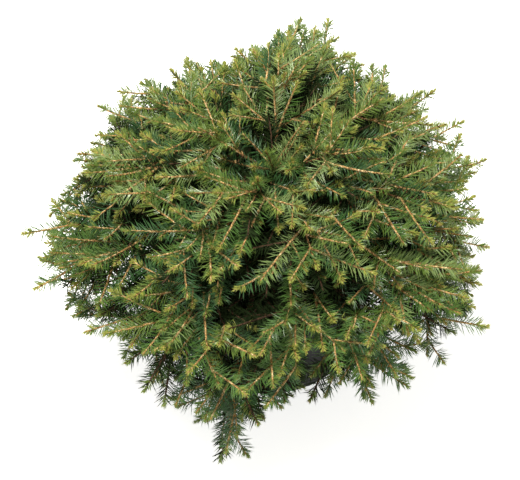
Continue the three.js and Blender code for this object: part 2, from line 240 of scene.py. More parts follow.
@dataclass(frozen=True)
class Envelope:
    """The room that the whole crown fills: a dome above its waist and tucked in below.

    Needled shoots stay below its skin by a depth that waves from tuft to tuft, as two sines do that each have
    so many turns round the crown and are shifted with the height.
    """

    OUTSIDE = 2.0
    radius: float = 207
    waist: float = 144
    rise: float = 122
    tuck: float = 0.45
    lowest: float = 76
    offset: float = -6
    tufts: float = 9
    wave_turns: tuple[float, float] = (29, 47)
    wave_heights: tuple[float, float] = (13, -19)

    def lump(self, azimuth: np.ndarray, lumps: tuple[Lump, ...] = LUMPS) -> tuple[np.ndarray, ...]:
        """Tell how far the crown departs from a round one.

        Args:
            azimuth: Azimuths in degrees.
            lumps: The places where it departs.

        Returns:
            How far outwards, upwards and downwards at each azimuth.
        """
        out, up, down = (np.zeros_like(azimuth, dtype=float) for _ in range(3))
        for lump in lumps:
            off = np.fmod(np.fmod(azimuth - lump.azimuth, 360) + 540, 360) - 180
            share = np.exp(-((off / lump.width) ** 2))
            out += lump.out * share
            up += lump.up * share
            down += lump.down * share
        return out, up, down

    def depth(self, points: np.ndarray, lumps: tuple[Lump, ...] = LUMPS) -> np.ndarray:
        """Tell how near points are to the crown's skin.

        Args:
            points: Rows of points in millimetres.
            lumps: Where the skin departs from a round one.

        Returns:
            Zero on the crown's axis, one on its skin and more outside.
        """
        aside = points[:, 0] - self.offset
        out, up, down = self.lump(np.degrees(np.arctan2(points[:, 1], aside)), lumps)
        distance = np.hypot(aside, points[:, 1])
        radius = self.radius + out
        above = points[:, 2] - self.waist
        dome = np.hypot(distance / radius, above / (self.rise + up))
        tucked = distance / np.maximum(radius + self.tuck * above, 1)
        tucked = np.where(points[:, 2] > self.lowest - down, tucked, self.OUTSIDE)
        return np.where(above > 0, dome, tucked)

    def inside(self, points: np.ndarray, inset: float = 0) -> np.ndarray:
        """Tell which points lie inside the crown.

        Args:
            points: Rows of points in millimetres.
            inset: How far below the skin needled shoots stay, more or less from tuft to tuft, or zero for
                the source's own twigs.

        Returns:
            True for each point that does.
        """
        if not inset:
            return self.depth(points) < 1
        angle = np.arctan2(points[:, 1], points[:, 0] - self.offset)
        waves = zip(self.wave_turns, self.wave_heights)
        wave = sum(np.sin(angle * turns + points[:, 2] / height) for turns, height in waves)
        return self.depth(points, LUMPS + DENTS) < 1 - (inset - self.tufts * wave) / self.radius


@dataclass(frozen=True)
class Limb:
    """A bough's or stem's middle line: a Bezier curve through two or three spans of control points."""

    controls: np.ndarray

    def at(self, shares: np.ndarray) -> np.ndarray:
        """Find points of the curve, by halving its control points as often as it takes.

        Args:
            shares: Shares of the curve.

        Returns:
            One row for each.
        """
        points = np.repeat(self.controls[None], len(shares), axis=0)
        while points.shape[1] > 1:
            points = points[:, :-1] + (points[:, 1:] - points[:, :-1]) * shares[:, None, None]
        return points[:, 0]

    def point(self, share: float) -> np.ndarray:
        """Return one point of the curve."""
        return self.at(np.array([share]))[0]

    def tangent(self, share: float) -> np.ndarray:
        """Return the curve's direction at a share of it."""
        slope = Limb(np.diff(self.controls, axis=0))
        return unit(slope.point(share))

    def length(self) -> float:
        """Return the straight distance from the curve's start to its end."""
        return span(self.point(0), self.point(1))


@dataclass
class Mass:
    """One foliage mass: its stem, its bough and its own generator of random numbers."""

    name: str
    tier: Tier
    random: Seeded
    stem: Limb
    bough: Limb | None
    length: float


@dataclass(frozen=True)
class Axes:
    """A place and direction: up is square to along, on its upper and slightly outward side."""

    OUTWARD_LEAN = 0.25
    point: np.ndarray
    along: np.ndarray

    @property
    def up(self) -> np.ndarray:
        """Return the upper side's direction."""
        wanted = UP + unit(self.point * [1, 1, 0]) * self.OUTWARD_LEAN
        return unit(wanted - self.along * (wanted @ self.along))

    @property
    def side(self) -> np.ndarray:
        """Return the direction to the side."""
        return np.cross(self.along, self.up)

    def turned(self, turn: float, spread: float) -> np.ndarray:
        """Turn away from the direction along.

        Args:
            turn: Degrees round it, from the upper side.
            spread: Degrees away from it.

        Returns:
            The new direction.
        """
        turn, spread = math.radians(turn), math.radians(spread)
        out = self.up * math.cos(turn) + self.side * math.sin(turn)
        return self.along * math.cos(spread) + out * math.sin(spread)


class Rank(Enum):
    """What a shoot grows from."""

    LEADER = 0
    MAIN = 1
    SIDE = 2
    FINE = 3
    INNER = 4
    STEM = 5


@dataclass(frozen=True)
class Shoot:
    """One needled shoot: a slightly bent line, in millimetres."""

    NEAR = 0.02
    axes: Axes
    reach: float
    bare: float
    drift: np.ndarray
    rank: Rank
    tier: str

    def at(self, shares: np.ndarray) -> np.ndarray:
        """Return the points at shares of the shoot."""
        s = shares[:, None]
        return self.axes.point + self.reach * (self.axes.along * s + self.drift * (s * s - s))

    def heading(self, share: float) -> np.ndarray:
        """Return the shoot's direction at a share of it."""
        ends = self.at(np.array([share - self.NEAR, share + self.NEAR]))
        return unit(ends[1] - ends[0])


@dataclass
class Crown:
    """Lays out the masses and their twigs by the source's rule."""

    envelope: Envelope = field(default_factory=Envelope)
    seed: int = 4100
    stagger: float = 2.5
    sway: float = 3
    uneven: float = 0.04
    clearance: float = 0.3
    own_space: float = 2.6
    flatness: float = 2
    pot_aside: float = 9
    pot_above: float = 11
    trunk_room: float = 3
    limb_points: int = 12
    stem_end: float = 0.72
    stations: tuple[float, float] = (0.04, 0.54)
    pitch: float = 26
    reach_shares: tuple[float, float] = (1.5, 1.1)
    spreads: tuple[float, float] = (58, 42)
    vary_turn: float = 14
    vary_spread: float = 7
    vary_reach: float = 0.14
    shorter: float = 0.93
    needled: float = 64
    least: float = 26
    on_twig: float = 0.85
    slim: float = 0.6
    stalk: float = 1.8
    tooth: float = 19
    tip: float = 0.55
    narrow: float = 0.35
    notch: float = 0.42
    tooth_lean: float = 0.85

    SIDEWAYS = ((84, 1), (-84, 1))
    UPWARD = (8, 0.7)
    DOWNWARD = (172, 0.6)

    def __post_init__(self) -> None:
        """Lay out the masses and gather the points of all limbs."""
        self.masses: list[Mass] = []
        for tier in TIERS:
            for k in range(tier.count):
                self.masses.append(self.lay_out_mass(tier, k, self.seed + len(self.masses)))
        shares = np.linspace(0, 1, self.limb_points + 1)
        points, owners = [], []
        for owner, mass in enumerate(self.masses):
            for limb in filter(None, (mass.bough, mass.stem)):
                points.append(limb.at(shares))
                owners += [owner] * len(shares)
        self.limbs = np.concatenate(points)
        self.owners = np.array(owners)

    def lay_out_mass(self, tier: Tier, k: int, seed: int) -> Mass:
        """Lay out one mass of a tier.

        Args:
            tier: The tier's sizes.
            k: Which mass of the tier this is, from zero.
            seed: Start of the mass's own random numbers.

        Returns:
            The mass with its stem, and its bough where the tier has them.
        """
        random = Seeded(seed)
        azimuth = tier.first + 360 * k / tier.count + random.around(self.sway)
        out, up, down = (float(v[0]) for v in self.envelope.lump(np.array([azimuth])))
        reach = (tier.tip[0] - tier.base[0]) * (1 + random.around(self.uneven)) + out
        shift = up if tier.tip[1] > self.envelope.waist else min(0.0, -down)
        base = polar(azimuth, *tier.base) + TRUNK.axis(TRUNK.tip, POT.soil_top) * [1, 1, 0]
        tip = polar(azimuth, tier.base[0] + reach, tier.tip[1] + shift) + [self.envelope.offset, 0, 0]
        stem = Limb(np.array([base, (base + tip) / 2 + UP * tier.sag, tip]))
        bough = self.lay_out_bough(tier, k, stem) if tier.leave else None
        return Mass(f"{tier.name}_{k + 1}", tier, random, stem, bough, span(base, tip))

    def lay_out_bough(self, tier: Tier, k: int, stem: Limb) -> Limb:
        """Lead a bough from the trunk, in an arch over to its stem.

        Args:
            tier: The tier's sizes.
            k: Which mass of the tier it carries, from zero.
            stem: The stem that it ends behind.

        Returns:
            Its curve.
        """
        leave = tier.leave + (self.stagger if k % 2 else -self.stagger)
        start = TRUNK.axis(leave, POT.soil_top)
        heading = stem.tangent(0)
        end = stem.point(0) - heading * self.clearance
        third = span(start, end) / 3
        rise = start + (end - start) / 3 + UP * tier.arch
        return Limb(np.array([start, rise, end - heading * third, end]))

    def in_own_space(self, points: np.ndarray, owner: int, slack: float = 0, inset: float = 0) -> np.ndarray:
        """Tell which points lie in a mass's own space.

        Args:
            points: Rows of points.
            owner: The mass's number.
            slack: How much nearer to another limb than the source allows a point may be.
            inset: How far inside the crown's skin a point has to stay.

        Returns:
            True for each point that does.
        """
        distance = np.hypot(points[:, 0], points[:, 1])
        beside_pot = distance < POT.rim_radius + POT.lip + self.pot_aside
        low = points[:, 2] < POT.height + self.pot_above
        in_trunk = (distance < TRUNK.foot_radius + self.trunk_room) & (points[:, 2] < TRUNK.tip)
        fine = self.envelope.inside(points, inset) & ~(beside_pot & low) & ~in_trunk
        gap = points[:, None] - self.limbs[None]
        gap[..., 2] *= self.flatness
        away = np.sqrt((gap * gap).sum(-1))
        own = self.owners == owner
        return fine & (away[:, own].min(1) + self.own_space - slack < away[:, ~own].min(1))

    def blade_edge(self, length: float, reach: float) -> np.ndarray:
        """Outline the source's toothed blade.

        Args:
            length: How much of it is toothed.
            reach: How long it is with its bare stalk.

        Returns:
            Rows of a distance aside and one along.
        """
        bare = reach - length
        teeth = max(2, math.floor(length / self.tooth))
        step = length / (teeth + self.tip)
        rows = [(self.stalk, 0.0), (0.0, reach)]
        for i in range(teeth + 1):
            half = self.slim * length / 2 * (1 - self.narrow * (i / teeth) ** 2)
            rows.append((half * self.notch if i else self.stalk, bare + i * step))
            if i < teeth:
                rows.append((half, bare + (i + self.tooth_lean) * step))
        return np.array(rows + [(-aside, along) for aside, along in rows])

    def blade_fits(self, axes: Axes, reach: float, owner: int) -> bool:
        """Tell whether the source's blade stays in its mass's own space.

        Args:
            axes: Where it starts and where it heads.
            reach: How long it is.
            owner: The mass's number.

        Returns:
            True if it does.
        """
        length = min(self.needled, reach * self.on_twig)
        edge = self.blade_edge(length, reach)
        points = axes.point + edge[:, :1] * axes.side + edge[:, 1:] * axes.along
        return bool(self.in_own_space(points, owner).all())

    def twig(self, mass: Mass, station: float, turn: float, share: float) -> tuple[Axes, float]:
        """Send out a twig from a mass's stem.

        Args:
            mass: The mass.
            station: The share of the stem where it leaves.
            turn: Degrees round the stem, from its upper side.
            share: Its reach as a share of a sideways twig's.

        Returns:
            Its direction and reach.
        """
        at = Axes(mass.stem.point(station), mass.stem.tangent(station))
        turn += mass.random.around(self.vary_turn)
        spread = lerp(*self.spreads, station) + mass.random.around(self.vary_spread)
        reach = mass.tier.wide * lerp(*self.reach_shares, station) * share
        reach *= 1 + mass.random.around(self.vary_reach)
        return Axes(at.point, at.turned(turn, spread)), reach

    def main_twigs(self, owner: int) -> list[tuple[Axes, float]]:
        """Lay out the twigs that the source gives a mass.

        Args:
            owner: The mass's number.

        Returns:
            Their directions and reaches, the leader first.
        """
        mass = self.masses[owner]
        start = mass.stem.point(self.stem_end)
        ahead = mass.stem.point(1) - start
        found = [(Axes(start, unit(ahead)), float(np.linalg.norm(ahead)))]
        first, last = self.stations
        steps = max(2, math.floor((last - first) * mass.length / self.pitch + 0.5))
        for i in range(steps + 1):
            for turn, share in (*self.SIDEWAYS, self.DOWNWARD if i % 2 else self.UPWARD):
                axes, reach = self.twig(mass, first + (last - first) * i / steps, turn, share)
                while reach > self.least and not self.blade_fits(axes, reach, owner):
                    reach *= self.shorter
                if reach > self.least:
                    found.append((axes, reach))
        return found


@dataclass(frozen=True)
class Fringe:
    """How fine shoots stand round a limb. Lengths in millimetres, angles in degrees."""

    pitch: float
    part: tuple[float, float]
    turns: tuple[tuple[float, Rank], ...]
    vary_turn: float
    spread: float
    reach: float
    bare: float
    outward: bool
    vary_spread: float = 12
    vary_reach: float = 0.25


@dataclass
class Branching:
    """Carries the crown's twigs on to side shoots and fine shoots. Angles are in degrees."""

    crown: Crown
    seed: int = 7000
    least: float = 28
    slack: float = 18
    inset: float = 15
    inner_inset: float = 38
    tested: tuple[float, ...] = (0.45, 0.75, 1.0)
    shorter: float = 0.88
    least_share: float = 0.58
    trim: float = 0.95
    bend: float = 0.12
    least_bend: float = 0.4
    steep: float = 0.5
    sway: float = 0.07
    pull: float = 0.4
    flat: float = 0.75
    twig_bare: float = 0.12
    stem_part: tuple[float, float] = (0.1, 0.74)

    side_pitch: float = 34
    side_part: tuple[float, float] = (0.24, 0.8)
    side_turn: float = 82
    side_spread: tuple[float, float] = (60, 46)
    side_reach: float = 64
    side_taper: tuple[float, float] = (1.1, 0.45)
    above_turn: float = 40
    above_share: float = 0.75
    vary_place: float = 0.03
    last_place: float = 0.96
    vary_turn: float = 16
    vary_spread: float = 9
    vary_reach: float = 0.22

    stem_share: float = 0.9
    on_stem: Fringe = Fringe(
        pitch=24,
        part=(0.02, 0.95),
        turns=((32, Rank.FINE), (-32, Rank.FINE), (105, Rank.INNER), (-105, Rank.INNER), (180, Rank.INNER)),
        vary_turn=24,
        spread=48,
        reach=58,
        bare=0.1,
        outward=True,
    )
    on_bough: Fringe = Fringe(
        pitch=17,
        part=(0.2, 1.0),
        turns=tuple((turn, Rank.INNER) for turn in (15, 75, -75, 125, -125)),
        vary_turn=25,
        spread=56,
        reach=46,
        bare=0.15,
        outward=False,
    )

    fork_shoots: int = 11
    fork_reach: float = 44
    fork_rises: tuple[float, float] = (26, 55)
    fork_start: tuple[float, float] = (1, 3)
    fork_sway: float = 12
    fork_vary_rise: float = 8
    fork_vary_reach: float = 0.2
    fork_match: float = 0.2

    def fitted(self, axes: Axes, reach: float, owner: int, inner: bool = False) -> float:
        """Shorten a shoot until it stays within the reach of its mass.

        Args:
            axes: Where it starts and where it heads.
            reach: Its wanted length.
            owner: The mass's number.
            inner: Whether it is an old one, which stays further below the crown's skin.

        Returns:
            The length that fits, or zero where only a stub would.
        """
        inset = self.inner_inset if inner else self.inset
        shares = np.array(self.tested)[:, None]
        while reach > self.least:
            points = axes.point + axes.along * reach * shares
            if self.crown.in_own_space(points, owner, self.slack, inset).all():
                return reach
            reach *= self.shorter
        return 0.0

    def trimmed(self, axes: Axes, reach: float) -> float:
        """Shorten a twig until it ends well inside the crown's skin.

        Args:
            axes: Where it starts and where it heads.
            reach: Its wanted length.

        Returns:
            The new length, which isn't below the twig's least share.
        """
        least = reach * self.least_share
        while reach > least:
            end = (axes.point + axes.along * reach)[None]
            if self.crown.envelope.inside(end, self.inset)[0]:
                break
            reach *= self.trim
        return reach

    def shoot(self, axes: Axes, reach: float, bare: float, rank: Rank, owner: int, random: Seeded) -> Shoot:
        """Make a shoot with its own slight bend: most turn up at the end and steep ones lean over.

        Args:
            axes: Where it starts and where it heads.
            reach: Its length.
            bare: How much of it has no needles, as a share of its length.
            rank: What it grows from.
            owner: Its mass's number.
            random: Where its bend comes from.

        Returns:
            The shoot.
        """
        bend = self.bend * lerp(self.least_bend, 1, random.draw()) * (-1 if axes.along[2] > self.steep else 1)
        drift = axes.up * bend + axes.side * random.around(self.sway)
        return Shoot(axes, reach, bare * reach, drift, rank, self.crown.masses[owner].tier.name)

    def outward(self, point: np.ndarray, way: np.ndarray) -> np.ndarray:
        """Turn a direction somewhat towards the outside of the crown, and lay it flatter in the dome.

        Args:
            point: Where the shoot starts.
            way: Where it heads.

        Returns:
            Where it heads now.
        """
        envelope = self.crown.envelope
        away = unit((point - [envelope.offset, 0, 0]) * [1, 1, 0])
        flat = np.array([1, 1, self.flat if point[2] > envelope.waist else 1])
        return unit(way * flat + away * self.pull)

    def along_stem(self, mass: Mass) -> Shoot:
        """Lay a needled shoot along a mass's stem.

        Args:
            mass: The mass.

        Returns:
            The shoot, from the stem's bare root to its leader.
        """
        first, last = self.stem_part
        start, end = mass.stem.point(first), mass.stem.point(last)
        reach = span(start, end)
        sag = mass.tier.sag * (last - first) ** 2
        drift = UP * (-2 * sag / reach)
        return Shoot(Axes(start, unit(end - start)), reach, 0, drift, Rank.STEM, mass.tier.name)

    def sides_of(self, parent: Shoot, owner: int, random: Seeded) -> list[Shoot]:
        """Grow the side shoots of a shoot.

        Args:
            parent: The shoot that they stand on.
            owner: Its mass's number.
            random: Where their places and directions come from.

        Returns:
            The side shoots, in pairs, with a short one above every second pair.
        """
        made = []
        first, last = self.side_part
        count = max(1, round(parent.reach * (last - first) / self.side_pitch))
        for i in range(count + 1):
            station = lerp(first, last, i / count)
            turns = [(self.side_turn, 1.0), (-self.side_turn, 1.0)]
            if i % 2:
                turns.append((random.around(self.above_turn), self.above_share))
            for turn, share in turns:
                place = min(self.last_place, station + random.around(self.vary_place))
                at = Axes(parent.at(np.array([place]))[0], parent.heading(place))
                turn += random.around(self.vary_turn)
                way = at.turned(turn, lerp(*self.side_spread, station) + random.around(self.vary_spread))
                wanted = self.side_reach * share * (self.side_taper[0] - self.side_taper[1] * station)
                wanted *= 1 + random.around(self.vary_reach)
                axes = Axes(at.point, self.outward(at.point, way))
                reach = self.fitted(axes, wanted, owner)
                if reach:
                    made.append(self.shoot(axes, reach, 0, Rank.SIDE, owner, random))
        return made

    def round_limb(
        self, limb: Limb, shares: list[float], look: Fringe, owner: int, random: Seeded
    ) -> list[Shoot]:
        """Grow the fine shoots that stand round a limb.

        Args:
            limb: The limb.
            shares: Where they stand, as shares of its fringed part.
            look: How they stand.
            owner: The mass's number.
            random: Where their directions and lengths come from.

        Returns:
            The shoots.
        """
        made = []
        for share in shares:
            station = lerp(*look.part, share)
            at = Axes(limb.point(station), limb.tangent(station))
            for turn, rank in look.turns:
                turn += random.around(look.vary_turn)
                way = at.turned(turn, look.spread + random.around(look.vary_spread))
                axes = Axes(at.point, self.outward(at.point, way) if look.outward else unit(way))
                wanted = look.reach * (1 + random.around(look.vary_reach))
                reach = self.fitted(axes, wanted, owner, rank is Rank.INNER)
                if reach:
                    made.append(self.shoot(axes, reach, look.bare, rank, owner, random))
        return made

    def fine(self, mass: Mass, owner: int, random: Seeded) -> list[Shoot]:
        """Grow a mass's fine shoots: those between the twigs of its stem, and old inner ones on its bough.

        Args:
            mass: The mass.
            owner: Its number.
            random: Where their directions and lengths come from.

        Returns:
            The shoots.
        """
        count = round(self.stem_share * mass.length / self.on_stem.pitch)
        shares = [i / count for i in range(count + 1)]
        made = self.round_limb(mass.stem, shares, self.on_stem, owner, random)
        if mass.bough is not None:
            count = max(1, round(mass.bough.length() / self.on_bough.pitch))
            shares = [i / count for i in range(count)]
            made += self.round_limb(mass.bough, shares, self.on_bough, owner, random)
        return made

    def from_fork(self, random: Seeded) -> list[Shoot]:
        """Grow the shoots that stand round the trunk's fork.

        Args:
            random: Where their directions and lengths come from.

        Returns:
            The shoots, each with the mass of the top tier whose stem heads most its way.
        """
        made = []
        below, out = self.fork_start
        tops = [(owner, mass) for owner, mass in enumerate(self.crown.masses) if mass.tier is TIERS[-1]]
        for i in range(self.fork_shoots):
            azimuth = 360 * i / self.fork_shoots + random.around(self.fork_sway)
            rise = math.radians(self.fork_rises[i % 2] + random.around(self.fork_vary_rise))
            way = polar(azimuth, math.cos(rise), math.sin(rise))
            axes = Axes(TRUNK.axis(TRUNK.tip - below, POT.soil_top) + way * out, way)
            owner = max(tops, key=lambda top: float(top[1].stem.tangent(self.fork_match) @ way))[0]
            reach = self.fitted(axes, self.fork_reach * (1 + random.around(self.fork_vary_reach)), owner)
            if reach:
                made.append(self.shoot(axes, reach, 0, Rank.FINE, owner, random))
        return made

    def shoots(self) -> list[Shoot]:
        """Grow every shoot of the crown.

        Returns:
            The shoots: those round the fork, and then each mass's own.
        """
        made = self.from_fork(Seeded(self.seed - 1))
        for owner, mass in enumerate(self.crown.masses):
            random = Seeded(self.seed + owner)
            for number, (axes, reach) in enumerate(self.crown.main_twigs(owner)):
                rank = Rank.MAIN if number else Rank.LEADER
                main = self.shoot(axes, self.trimmed(axes, reach), self.twig_bare, rank, owner, random)
                made += [main, *self.sides_of(main, owner, random)]
            made += [self.along_stem(mass), *self.fine(mass, owner, random)]
        return made


# Finishes.


class Slot(Enum):
    """The record's material slots."""

    POT = "pot"
    SOIL = "soil"
    BARK = "bark"
    YOUNG_BARK = "young_bark"
    NEEDLES = "needles"


class Painter:
    """A shader material under construction, with its Principled node."""

    def __init__(self, name: str, roughness: float, specular: float) -> None:
        """Start a material.

        Args:
            name: The material's name.
            roughness: Roughness, the same all over unless a node drives it later.
            specular: Specular level, the same all over.
        """
        self.material = bpy.data.materials.new(name)
        self.material.use_nodes = True
        self.nodes = self.material.node_tree.nodes
        self.links = self.material.node_tree.links
        self.skin = self.nodes["Principled BSDF"]
        self.skin.inputs["Roughness"].default_value = roughness
        self.skin.inputs["Specular IOR Level"].default_value = specular

    def node(self, kind: str, settings: dict | None = None, **inputs: object) -> bpy.types.Node:
        """Add a node.

        Args:
            kind: The node's type.
            settings: Properties to set on it.
            inputs: Values or sockets for its inputs, by name, with _ for a space.

        Returns:
            The node.
        """
        made = self.nodes.new(kind)
        for name, value in (settings or {}).items():
            setattr(made, name, value)
        for name, value in inputs.items():
            socket = made.inputs[name.replace("_", " ")]
            if isinstance(value, Socket):
                self.links.new(value, socket)
            else:
                socket.default_value = value
        return made

    def place(self) -> Socket:
        """Return the object coordinates."""
        return self.node("ShaderNodeTexCoord").outputs["Object"]

    def grain(self, vector: Socket, scale: float, detail: float = 6, rough: float = 0.6) -> Socket:
        """Add a noise texture.

        Args:
            vector: The coordinates that it reads.
            scale: How fine it is, in waves a metre.
            detail: How many finer noises lie over it.
            rough: How strong these are.

        Returns:
            Its value, from 0 to 1.
        """
        made = self.node("ShaderNodeTexNoise", Vector=vector, Scale=scale, Detail=detail, Roughness=rough)
        return made.outputs["Fac"]

    def ramp(self, value: Socket, stops: list[tuple[float, int]]) -> Socket:
        """Add a colour ramp.

        Args:
            value: The value that it reads.
            stops: Positions and screen colours.

        Returns:
            Its colour.
        """
        made = self.node("ShaderNodeValToRGB", Fac=value)
        edges = made.color_ramp.elements
        while len(edges) < len(stops):
            edges.new(0.5)
        for edge, (position, code) in zip(edges, stops):
            edge.position = position
            edge.color = linear(code)
        return made.outputs["Color"]

    def darkened(self, colour: Socket, by: Socket, share: float) -> Socket:
        """Multiply one colour by another.

        Args:
            colour: The first colour.
            by: The second colour.
            share: How much of the darkening counts.

        Returns:
            The darker colour.
        """
        made = self.node("ShaderNodeMix", {"data_type": "RGBA", "blend_type": "MULTIPLY"})
        inputs = {socket.identifier: socket for socket in made.inputs}
        inputs["Factor_Float"].default_value = share
        self.links.new(colour, inputs["A_Color"])
        self.links.new(by, inputs["B_Color"])
        return next(socket for socket in made.outputs if socket.identifier == "Result_Color")

    def colour(self, value: Socket | int) -> None:
        """Give the material its base colour.

        Args:
            value: A socket, or a plain screen colour.
        """
        if isinstance(value, int):
            self.skin.inputs["Base Color"].default_value = linear(value)
        else:
            self.links.new(value, self.skin.inputs["Base Color"])

    def roughened(self, value: Socket, low: float, high: float) -> None:
        """Let a value from 0 to 1 set the roughness between two ends."""
        made = self.node("ShaderNodeMapRange", Value=value, To_Min=low, To_Max=high)
        self.links.new(made.outputs["Result"], self.skin.inputs["Roughness"])

    def relief(self, height: Socket, depth_mm: float, strength: float = 1.0) -> None:
        """Let a height from 0 to 1 raise the surface by up to a depth."""
        made = self.node("ShaderNodeBump", Height=height, Strength=strength, Distance=depth_mm * MM)
        self.links.new(made.outputs["Normal"], self.skin.inputs["Normal"])


@dataclass(frozen=True)
class BarkFinish:
    """Old scaly bark of trunk and boughs, or the ridged bark of young twigs."""

    name: str
    dark: int
    middle: int
    light: int
    scale: float
    flakes: float
    depth_mm: float
    stops: tuple[float, float, float] = (0.3, 0.5, 0.72)
    crack: int = 0x4A4A4A
    between_cracks: int = 0xFFFFFF
    crack_width: float = 0.16
    crack_share: float = 0.8
    roughness: float = 0.85
    rough_ends: tuple[float, float] = (0.75, 0.95)
    specular: float = 0.25

    def make(self) -> bpy.types.Material:
        """Build the material: flakes with dark cracks, under a finer grain.

        Returns:
            The material.
        """
        paint = Painter(self.name, self.roughness, self.specular)
        place = paint.place()
        grain = paint.grain(place, self.scale)
        tone = paint.ramp(grain, list(zip(self.stops, (self.dark, self.middle, self.light))))
        to_edge = {"feature": "DISTANCE_TO_EDGE"}
        cells = paint.node("ShaderNodeTexVoronoi", to_edge, Vector=place, Scale=self.flakes)
        edge = cells.outputs["Distance"]
        crack = paint.ramp(edge, [(0.0, self.crack), (self.crack_width, self.between_cracks)])
        paint.colour(paint.darkened(tone, crack, self.crack_share))
        paint.roughened(grain, *self.rough_ends)
        height = paint.node("ShaderNodeMath", {"operation": "MULTIPLY"})
        paint.links.new(edge, height.inputs[0])
        paint.links.new(grain, height.inputs[1])
        paint.relief(height.outputs[0], self.depth_mm)
        return paint.material


@dataclass(frozen=True)
class NeedleFinish:
    """One plain tint of waxy needle."""

    name: str
    tint: int
    roughness: float = 0.36
    specular: float = 0.65

    def make(self) -> bpy.types.Material:
        """Build the material: a plain colour with a waxy sheen of reflections.

        Returns:
            The material.
        """
        paint = Painter(self.name, self.roughness, self.specular)
        paint.colour(self.tint)
        return paint.material


@dataclass(frozen=True)
class PlasticFinish:
    """Matt black nursery plastic with a fine grain and a little dried dust.

    Dust and grain are each given by their scale, detail and roughness.
    """

    name: str = "pot_plastic"
    clean: int = 0x101110
    dusty: int = 0x1E1D1B
    roughness: float = 0.6
    rough_ends: tuple[float, float] = (0.52, 0.78)
    specular: float = 0.12
    dust: tuple[float, float, float] = (22, 5, 0.65)
    dust_stops: tuple[float, float] = (0.45, 0.75)
    grain: tuple[float, float, float] = (1400, 2, 0.5)
    grain_mm: float = 0.12
    grain_strength: float = 0.6

    def make(self) -> bpy.types.Material:
        """Build the material.

        Returns:
            The material.
        """
        paint = Painter(self.name, self.roughness, self.specular)
        place = paint.place()
        dust = paint.grain(place, *self.dust)
        paint.colour(paint.ramp(dust, list(zip(self.dust_stops, (self.clean, self.dusty)))))
        paint.roughened(dust, *self.rough_ends)
        paint.relief(paint.grain(place, *self.grain), self.grain_mm, self.grain_strength)
        return paint.material


@dataclass(frozen=True)
class PeatFinish:
    """Dark crumbly peat. Its grain is given by scale, detail and roughness."""

    name: str = "peat"
    wet: int = 0x1F1610
    dry: int = 0x57412E
    roughness: float = 0.95
    rough_ends: tuple[float, float] = (0.85, 1.0)
    specular: float = 0.15
    grain: tuple[float, float, float] = (420, 8, 0.7)
    stops: tuple[float, float] = (0.35, 0.7)
    relief_mm: float = 1.2

    def make(self) -> bpy.types.Material:
        """Build the material.

        Returns:
            The material.
        """
        paint = Painter(self.name, self.roughness, self.specular)
        grain = paint.grain(paint.place(), *self.grain)
        paint.colour(paint.ramp(grain, list(zip(self.stops, (self.wet, self.dry)))))
        paint.roughened(grain, *self.rough_ends)
        paint.relief(grain, self.relief_mm)
        return paint.material


class Tint(Enum):
    """Plain needle tints, dealt out by shoot with painted shade and painted light, and those of the shoots'
    tips.
    """

    # Painted shade: the darkest green, for shoots deep inside the crown, inner shoots and some low and shaded
    # ones.
    DEEP = 0x1C2A0E
    BLUE = 0x365A30
    MID = 0x486A2C
    WARM = 0x607832
    # Dealt out more often to shoots high towards the crown's back, as painted light.
    BRIGHT = 0x7A9054
    TIP_GREEN = 0x6C8038
    TIP_PALE = 0x949A46

    @property
    def label(self) -> str:
        """Return the tint's name as used in piece names."""
        return self.name.lower()


# Geometry Nodes trees.


